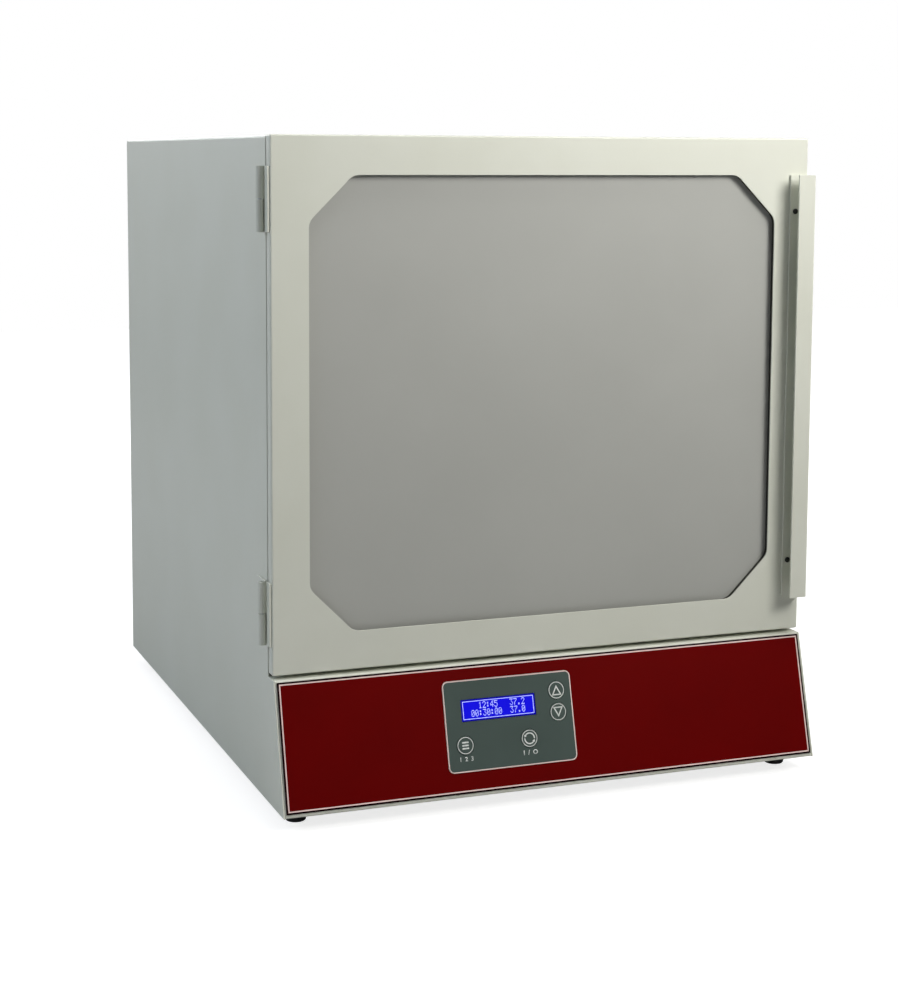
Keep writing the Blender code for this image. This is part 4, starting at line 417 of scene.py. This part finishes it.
NODE_FINISHES = {
    ENAMEL: [
        "cabinet_wrap", "control_fascia", "door_handle", "door_skin", "face_frame", "rear_panel",
        "base_pan", "rear_frame", "hinge_lower_cabinet_leaf", "hinge_lower_door_leaf",
        "hinge_upper_cabinet_leaf", "hinge_upper_door_leaf",
    ],
    MAROON_FILM: ["fascia_overlay"],
    SLATE_FILM: ["keypad_panel", "key_up", "key_down", "key_mode", "key_start"],
    WINDOW: ["window_pane"],
    STAINLESS: [
        "air_baffle", "chamber_liner", "door_inner_panel", "shelf_ladder_left", "shelf_ladder_right",
        "shelf_lower", "shelf_upper", "temperature_probe",
    ],
    ZINC: ["deck_plate", "rear_bulkhead", "catch_strike"],
    STEEL: ["fan_shaft", "hinge_lower_pin", "hinge_upper_pin"] + [f"hinge_screw_{n}" for n in range(1, 5)],
    BLACK_STEEL: ["handle_screw_lower", "handle_screw_upper", "fan_motor"],
    ALUMINIUM: ["fan_wheel"],
    HEATER_SHEATH: ["heater_element"],
    RUBBER: ["foot_front_left", "foot_front_right", "foot_rear_left", "foot_rear_right"],
    SILICONE: ["door_gasket"],
    SEAL_RUBBER: ["window_seal"],
    BLACK_NYLON: [
        "fuse_holder", "magnetic_catch_lower", "magnetic_catch_upper", "power_inlet", "power_switch",
    ],
    ROCKER_PLASTIC: ["power_rocker"],
    CERAMIC: ["safety_thermostat"],
    BOARD: ["control_board", "display_module", "power_board"],
    WOOL: ["chamber_insulation", "door_insulation"],
}
# Each imported node is given its finish in a single material slot
for finish, names in NODE_FINISHES.items():
    for name in names:
        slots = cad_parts[name].data.materials
        slots.clear()
        slots.append(finish)


def soften(name, width):
    """Joins a node's loose faces and breaks its sharp edges, so that they catch the light."""
    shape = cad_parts[name]
    weld = shape.modifiers.new("joined_faces", "WELD")
    weld.merge_threshold = 0.00001
    bevel = shape.modifiers.new("broken_edges", "BEVEL")
    bevel.width = width
    bevel.segments = 2
    # The facets of round walls meet at less than this, and are left alone
    bevel.limit_method = "ANGLE"
    bevel.angle_limit = math.radians(32)


for name in NODE_FINISHES[ENAMEL]:
    soften(name, 0.00058 if name == "door_skin" else 0.0004)
for name in (
    "window_pane", "door_gasket", "shelf_lower", "shelf_upper", "door_inner_panel",
    "power_inlet", "power_switch", "power_rocker",
):
    soften(name, 0.0003)


def deselect():
    """Leaves edit mode with nothing selected."""
    if bpy.context.mode != "OBJECT":
        bpy.ops.object.mode_set(mode="OBJECT")
    bpy.ops.object.select_all(action="DESELECT")


def pick_faces(shape, wanted):
    """In edit mode, selects just the faces for which wanted(middle, normal) holds."""
    bpy.ops.mesh.select_all(action="DESELECT")
    bpy.ops.mesh.select_mode(type="FACE")
    made = bmesh.from_edit_mesh(shape.data)
    for face in made.faces:
        face.select_set(wanted(face.calc_center_median(), face.normal))
    bmesh.update_edit_mesh(shape.data)


def begin(primitive, **settings):
    """Adds a primitive with nothing else selected, and opens it in edit mode, all selected."""
    deselect()
    primitive(**settings)
    bpy.ops.object.mode_set(mode="EDIT")
    bpy.ops.mesh.select_all(action="SELECT")
    return bpy.context.object


def thicken(height):
    """Draws a flat outline up into a closed plate of this height."""
    bpy.ops.mesh.select_all(action="SELECT")
    bpy.ops.mesh.extrude_region_move(TRANSFORM_OT_translate={"value": (0, 0, height)})


def settle(shape, name, finish, body, place):
    """Closes edit mode, sets the piece in place in its own mesh, and lets it ride a body."""
    if bpy.context.mode != "OBJECT":
        bpy.ops.mesh.select_all(action="SELECT")
        bpy.ops.mesh.remove_doubles(threshold=0.000001)
        bpy.ops.mesh.normals_make_consistent(inside=False)
        bpy.ops.object.mode_set(mode="OBJECT")
    bpy.context.view_layer.update()
    shape.matrix_world = place @ shape.matrix_world
    bpy.ops.object.select_all(action="DESELECT")
    shape.select_set(True)
    bpy.context.view_layer.objects.active = shape
    bpy.ops.object.transform_apply(location=True, rotation=True, scale=True)
    shape.name = name
    shape.data.name = name
    shape.data.materials.clear()
    shape.data.materials.append(finish)
    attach(shape, body)
    return shape


def repeat(shape, name, body, move):
    """A copy of a finished piece, with its own mesh, moved by a matrix."""
    made = shape.copy()
    made.data = shape.data.copy()
    made.data.name = name
    made.name = name
    bpy.context.scene.collection.objects.link(made)
    made.data.transform(move)
    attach(made, body)
    return made


def on_panel(u, v, height):
    """The place of a flat piece on the sloped panel."""
    return PANEL @ Matrix.Translation((u, v, height))


def key_rings():
    """A thin printed ring round each key."""
    radius, line = 0.0066, 0.0006
    shape = begin(bpy.ops.mesh.primitive_circle_add, vertices=56, radius=radius, fill_type="NGON")
    bpy.ops.mesh.inset(thickness=line)
    bpy.ops.mesh.delete(type="FACE")
    thicken(INK)
    first, *others = KEY_PLACES
    ring = settle(shape, first + "_ring", SILVER_INK, first, on_panel(*KEY_PLACES[first], KEY_FACE))
    start = on_panel(*KEY_PLACES[first], 0).inverted()
    for key in others:
        repeat(ring, key + "_ring", key, on_panel(*KEY_PLACES[key], 0) @ start)


def key_triangles():
    """Open triangles that point up and down."""
    radius, line, narrow = 0.0054, 0.0010, 0.92
    shape = begin(bpy.ops.mesh.primitive_circle_add, vertices=3, radius=radius, fill_type="NGON")
    bpy.ops.transform.resize(value=(narrow, 1, 1))
    bpy.ops.mesh.bevel(offset=0.0003, segments=2, affect="VERTICES")
    bpy.ops.mesh.select_all(action="SELECT")
    bpy.ops.mesh.inset(thickness=line)
    bpy.ops.mesh.delete(type="FACE")
    thicken(INK)
    bpy.ops.mesh.select_all(action="SELECT")
    bpy.ops.transform.translate(value=(0, -radius / 4, 0))
    up = settle(shape, "key_up_mark", SILVER_INK, "key_up", on_panel(*KEY_PLACES["key_up"], KEY_FACE))
    turn = Matrix.Rotation(math.pi, 4, "Z")
    move = on_panel(*KEY_PLACES["key_down"], 0) @ turn @ on_panel(*KEY_PLACES["key_up"], 0).inverted()
    repeat(up, "key_down_mark", "key_down", move)


def mode_mark():
    """Three bars, the plain mark for a list of settings."""
    width, bar, pitch = 0.0056, 0.0012, 0.0023
    shape = begin(bpy.ops.mesh.primitive_plane_add, size=1)
    bpy.ops.transform.resize(value=(width, bar, 1))
    bpy.ops.mesh.bevel(offset=bar * 0.35, segments=2, affect="VERTICES")
    thicken(INK)
    for step in (pitch, -2 * pitch):
        bpy.ops.mesh.select_all(action="DESELECT")
        bpy.ops.mesh.select_mode(type="VERT")
        made = bmesh.from_edit_mesh(shape.data)
        base = 0.0 if step > 0 else pitch
        for vertex in made.verts:
            vertex.select_set(abs(vertex.co.y - base) < bar)
        made.select_flush(True)
        bpy.ops.mesh.duplicate_move(TRANSFORM_OT_translate={"value": (0, step, 0)})
    settle(shape, "key_mode_mark", SILVER_INK, "key_mode", on_panel(*KEY_PLACES["key_mode"], KEY_FACE))


def start_mark():
    """A ring cut into two arcs, each with an arrowhead."""
    radius, line, gap = 0.0046, 0.0010, math.radians(34)
    shape = begin(bpy.ops.mesh.primitive_circle_add, vertices=72, radius=radius, fill_type="NGON")
    bpy.ops.mesh.inset(thickness=line)
    bpy.ops.mesh.delete(type="FACE")
    lean = math.radians(-38)

    def in_gap(middle, normal):
        return (math.atan2(middle.y, middle.x) - lean) % math.pi < gap

    pick_faces(shape, in_gap)
    bpy.ops.mesh.delete(type="FACE")
    thicken(INK)
    middle_radius = radius - line / 2
    for turn in (0.0, math.pi):
        angle = lean + turn + gap * 0.25
        bpy.ops.mesh.select_all(action="DESELECT")
        tip = (middle_radius * math.cos(angle), middle_radius * math.sin(angle), INK / 2)
        bpy.ops.mesh.primitive_cone_add(
            vertices=3, radius1=line * 1.35, radius2=line * 1.35, depth=INK, location=tip,
            rotation=(0, 0, angle),
        )
    settle(shape, "key_start_mark", SILVER_INK, "key_start", on_panel(*KEY_PLACES["key_start"], KEY_FACE))


def printed_text(name, words, size, place):
    """Plain numerals or switch marks in ink, on the keypad."""
    deselect()
    bpy.ops.object.text_add()
    shape = bpy.context.object
    shape.data.body = words
    shape.data.size = size
    shape.data.offset = LETTER_WEIGHT
    shape.data.align_x = "CENTER"
    shape.data.align_y = "CENTER"
    bpy.ops.object.convert(target="MESH")
    shape = bpy.context.object
    bpy.ops.object.mode_set(mode="EDIT")
    thicken(INK)
    settle(shape, name, SILVER_INK, "cabinet", place)


def display_glass():
    """The lit face of the display, a thin glass in the keypad's opening."""
    shape = begin(bpy.ops.mesh.primitive_plane_add, size=1)
    bpy.ops.transform.resize(value=(DISPLAY_SIZE[0], DISPLAY_SIZE[1], 1))
    bpy.ops.mesh.bevel(offset=0.0003, segments=2, affect="VERTICES")
    thicken(DISPLAY_GLASS)
    settle(shape, "display_glass", DISPLAY, "cabinet", on_panel(*DISPLAY_CENTRE, DISPLAY_FACE))


def display_line():
    """The thin lit line round the display's picture."""
    inset, line = 0.0013, 0.0005
    shape = begin(bpy.ops.mesh.primitive_plane_add, size=1)
    bpy.ops.transform.resize(value=(DISPLAY_SIZE[0] - 2 * inset, DISPLAY_SIZE[1] - 2 * inset, 1))
    bpy.ops.mesh.inset(thickness=line)
    bpy.ops.mesh.delete(type="FACE")
    thicken(INK)
    settle(shape, "display_line", DOTS, "cabinet", on_panel(*DISPLAY_CENTRE, DISPLAY_FRONT))


# Each numeral's seven rows of five dots, from the top, as the bits of a number
DOT_ROWS = {
    "0": (14, 17, 19, 21, 25, 17, 14),
    "1": (4, 12, 4, 4, 4, 4, 14),
    "2": (14, 17, 1, 2, 4, 8, 31),
    "3": (31, 2, 4, 2, 1, 17, 14),
    "4": (2, 6, 10, 18, 31, 2, 2),
    "5": (31, 16, 30, 1, 1, 17, 14),
    "6": (6, 8, 16, 30, 17, 17, 14),
    "7": (31, 1, 2, 4, 8, 8, 8),
    "8": (14, 17, 17, 14, 17, 17, 14),
    "9": (14, 17, 17, 15, 1, 2, 12),
    ":": (0, 12, 12, 0, 12, 12, 0),
    ".": (0, 0, 0, 0, 0, 12, 12),
    " ": (0, 0, 0, 0, 0, 0, 0),
}


def display_numerals():
    """Two rows of plain numerals, drawn in square dots as the display draws them."""
    rows = ("   12:45   37.2 ", " 00:30:00  37.0 ")
    # Each numeral has five dots by seven, and one dot of room beside and below it
    across, down = 6 * len(rows[0]), 8 * len(rows)
    dot, dark_line = (0.00055, 0.00074), 0.00004
    shape = begin(bpy.ops.mesh.primitive_grid_add, x_subdivisions=across, y_subdivisions=down, size=1)
    bpy.ops.transform.resize(value=(across * dot[0], down * dot[1], 1))

    def unlit(middle, normal):
        column = int(middle.x / dot[0] + across / 2)
        line = int(down / 2 - middle.y / dot[1])
        numeral = rows[line // 8][column // 6]
        if column % 6 == 5 or line % 8 == 7:
            return True
        return not DOT_ROWS[numeral][line % 8] >> (4 - column % 6) & 1

    pick_faces(shape, unlit)
    bpy.ops.mesh.delete(type="FACE")
    bpy.ops.mesh.select_all(action="SELECT")
    bpy.ops.mesh.inset(thickness=dark_line, use_individual=True)
    bpy.ops.mesh.select_all(action="INVERT")
    bpy.ops.mesh.delete(type="FACE")
    thicken(INK)
    settle(shape, "display_numerals", DOTS, "cabinet", on_panel(*DISPLAY_CENTRE, DISPLAY_FRONT))


def window_cover():
    """The cover sheet in front of the pane, with the opening's cut and rounded corners."""
    # The pane laps 7 mm behind the opening's edge, and the cover 1.2 mm
    inset = 0.007 - 0.0012
    gap, thickness, cut, corner, polish = 0.0003, 0.0022, 0.0357, 0.0051, 0.0003
    low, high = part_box("window_pane")
    width, height = high.x - low.x - 2 * inset, high.z - low.z - 2 * inset
    shape = begin(bpy.ops.mesh.primitive_plane_add, size=1)
    bpy.ops.transform.resize(value=(width, height, 1))
    bpy.ops.mesh.bevel(offset=cut, segments=1, affect="VERTICES")
    bpy.ops.mesh.select_all(action="SELECT")
    bpy.ops.mesh.bevel(offset=corner, segments=4, affect="VERTICES")
    thicken(thickness)
    pick_faces(shape, lambda middle, normal: middle.z > thickness * 0.9)
    bpy.ops.mesh.bevel(offset=polish, segments=2, affect="EDGES")
    forwards = Matrix.Rotation(math.pi / 2, 4, "X")
    middle = Vector(((low.x + high.x) / 2, low.y - gap, (low.z + high.z) / 2))
    settle(shape, "window_cover", WINDOW, "door", Matrix.Translation(middle) @ forwards)


def rear_panel_screws():
    """Pan-head screws with a cross recess, which hold the rear panel."""
    radius, rise, round_edge, arm, reach = 0.0036, 0.0016, 0.0008, 0.0005, 0.0018
    shape = begin(bpy.ops.mesh.primitive_cylinder_add, vertices=24, radius=radius, depth=rise)
    bpy.ops.transform.translate(value=(0, 0, rise / 2))
    pick_faces(shape, lambda middle, normal: normal.z > 0.9)
    bpy.ops.mesh.bevel(offset=round_edge, segments=3)
    pick_faces(shape, lambda middle, normal: normal.z > 0.99 and middle.xy.length < 0.0001)
    bpy.ops.mesh.inset(thickness=radius - round_edge - reach)
    for side in (arm, -arm):
        for along in ((1, 0, 0), (0, 1, 0)):
            bpy.ops.mesh.select_all(action="SELECT")
            bpy.ops.mesh.bisect(plane_co=Vector(along) * side, plane_no=along)

    def in_recess(middle, normal):
        if normal.z < 0.99 or middle.xy.length > reach:
            return False
        return min(abs(middle.x), abs(middle.y)) < arm

    pick_faces(shape, in_recess)
    bpy.ops.mesh.extrude_region_move(TRANSFORM_OT_translate={"value": (0, 0, -rise * 0.6)})
    low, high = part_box("rear_panel")
    inset = 0.007
    left, right = low.x + inset, high.x - inset
    foot, top = low.z + inset, high.z - inset
    middle_x, middle_z = (left + right) / 2, (foot + top) / 2
    spots = [(x, z) for z in (foot, middle_z, top) for x in (left, middle_x, right)]
    spots.remove((middle_x, middle_z))
    start = Matrix.Translation((left, high.y, foot)) @ Matrix.Rotation(-math.pi / 2, 4, "X")
    first = settle(shape, "rear_screw_1", STEEL, "cabinet", start)
    for count, (x, z) in enumerate(spots[1:], 2):
        repeat(first, f"rear_screw_{count}", "cabinet", Matrix.Translation((x - left, 0, z - foot)))


key_rings()
key_triangles()
mode_mark()
start_mark()
mode_u, mode_v = KEY_PLACES["key_mode"]
start_u, start_v = KEY_PLACES["key_start"]
printed_text("mode_numbers", "1  2  3", NUMBERS_SIZE, on_panel(mode_u, mode_v - NUMBERS_DROP, KEYPAD_FACE))
printed_text("start_marks", "I  /  O", MARKS_SIZE, on_panel(start_u, start_v - MARKS_DROP, KEYPAD_FACE))
display_glass()
display_line()
display_numerals()
window_cover()
rear_panel_screws()


def aimed(place, target):
    """The turn of a lamp at a place that looks at a target."""
    return (Vector(target) - Vector(place)).to_track_quat("-Z", "Y").to_euler()


def soft_lamp(name, place, target, size, spread, power, tint):
    """An area lamp at a place, aimed at a target; spread is the angle of its cone in degrees."""
    lamp = bpy.data.lights.new(name, "AREA")
    lamp.shape = "RECTANGLE"
    lamp.size, lamp.size_y = size
    lamp.spread = math.radians(spread)
    lamp.energy = power
    lamp.color = colour(tint)[:3]
    holder = bpy.data.objects.new(name, lamp)
    holder.location = place
    holder.rotation_euler = aimed(place, target)
    bpy.context.scene.collection.objects.link(holder)


def studio():
    """Pale floor and backdrop, white to the camera and grey in reflections, and soft lamps all round."""
    deselect()
    bpy.ops.mesh.primitive_plane_add(size=8, location=(0, 0, 0))
    floor = bpy.context.object
    floor.name = "floor"
    paper, shader, place = new_finish("white_paper_floor", Roughness=0.9)
    mottle(paper, shader, place, ("B4B4B4", "B8B8B8"), spacing=400)
    # To the camera alone the floor glows white far off, and a little less near by: the dimmer glow there is
    # a painted shade round the object, where it also keeps the lamps' shadow
    light_path = add(paper, "ShaderNodeLightPath")
    far = add(paper, "ShaderNodeVectorMath", {0: place}, operation="LENGTH")
    rise = add(
        paper, "ShaderNodeMapRange",
        {"Value": far.outputs["Value"], "From Min": 0.4, "From Max": 1.6, "To Min": 0.78, "To Max": 1.0},
    )
    lift = add(
        paper, "ShaderNodeMath",
        {0: light_path.outputs["Is Camera Ray"], 1: rise.outputs[0]}, operation="MULTIPLY",
    )
    shader.inputs["Emission Color"].default_value = (1, 1, 1, 1)
    paper.node_tree.links.new(lift.outputs[0], shader.inputs["Emission Strength"])
    floor.data.materials.append(paper)

    world = bpy.data.worlds.new("studio")
    bpy.context.scene.world = world
    world.use_nodes = True
    world.node_tree.nodes.clear()
    # The camera sees white and metal reflects grey, but next to no light falls on the object from it
    light_path = add(world, "ShaderNodeLightPath")
    seen = add(
        world, "ShaderNodeMath",
        {0: light_path.outputs["Is Camera Ray"], 1: light_path.outputs["Is Transmission Ray"]},
        operation="MAXIMUM",
    )
    ambient = add(world, "ShaderNodeBackground", {"Color": colour("F4F6FA"), "Strength": 0.02})
    grey = add(world, "ShaderNodeBackground", {"Color": (1, 1, 1, 1), "Strength": 0.45})
    white = add(world, "ShaderNodeBackground", {"Color": (1, 1, 1, 1), "Strength": 1.0})
    around = add(
        world, "ShaderNodeMixShader",
        {0: light_path.outputs["Is Glossy Ray"], 1: ambient.outputs[0], 2: grey.outputs[0]},
    )
    both = add(world, "ShaderNodeMixShader", {0: seen.outputs[0], 1: around.outputs[0], 2: white.outputs[0]})
    add(world, "ShaderNodeOutputWorld", {"Surface": both.outputs[0]})

    soft_lamp("main_lamp", (0.60, -1.05, 0.95), (-0.10, -0.25, 0.85), (0.52, 0.52), 140, 8.0, "FFFDFA")
    soft_lamp("overhead_lamp", (0.45, -0.60, 2.80), (0.0, -0.20, 0.30), (1.2, 0.8), 180, 28.0, "FFFFFF")
    left_side = (-0.23, 0.0, 0.28)
    soft_lamp("front_left_lamp", (-1.7, -0.7, 0.9), left_side, (1.2, 1.2), 180, 3.4, "E6F0FF")
    soft_lamp("left_lamp", (-1.6, 0.1, 1.3), left_side, (1.0, 1.0), 180, 10.2, "E6F0FF")
    soft_lamp("right_lamp", (1.9, 0.7, 1.2), (0.23, 0.0, 0.28), (1.0, 1.0), 180, 12.0, "FFFFFF")
    soft_lamp("rear_lamp", (-0.5, 2.3, 1.3), (0.0, 0.27, 0.28), (1.2, 1.2), 180, 22.0, "FFFFFF")


def camera():
    """The photograph's viewpoint: a long lens from the left front, a little above the middle."""
    # Fitted to the cabinet's edges in the photograph
    place = (-0.61138, -1.62482, 0.50529)
    yaw, pitch, roll = math.radians(20.472), math.radians(5.974), math.radians(0.207)
    ahead = Vector((math.sin(yaw) * math.cos(pitch), math.cos(yaw) * math.cos(pitch), -math.sin(pitch)))
    right = Vector((math.cos(yaw), -math.sin(yaw), 0))
    up = right.cross(ahead)
    across = math.cos(roll) * right + math.sin(roll) * up
    above = -math.sin(roll) * right + math.cos(roll) * up
    seen = bpy.data.cameras.new("camera")
    seen.lens = 69.152
    seen.sensor_width = 36
    seen.shift_x = 0.019
    seen.shift_y = -0.14
    holder = bpy.data.objects.new("camera", seen)
    turn = Matrix((across, above, -ahead)).transposed().to_4x4()
    holder.matrix_world = Matrix.Translation(place) @ turn
    bpy.context.scene.collection.objects.link(holder)
    bpy.context.scene.camera = holder


studio()
camera()
bpy.context.scene.view_settings.view_transform = "Standard"
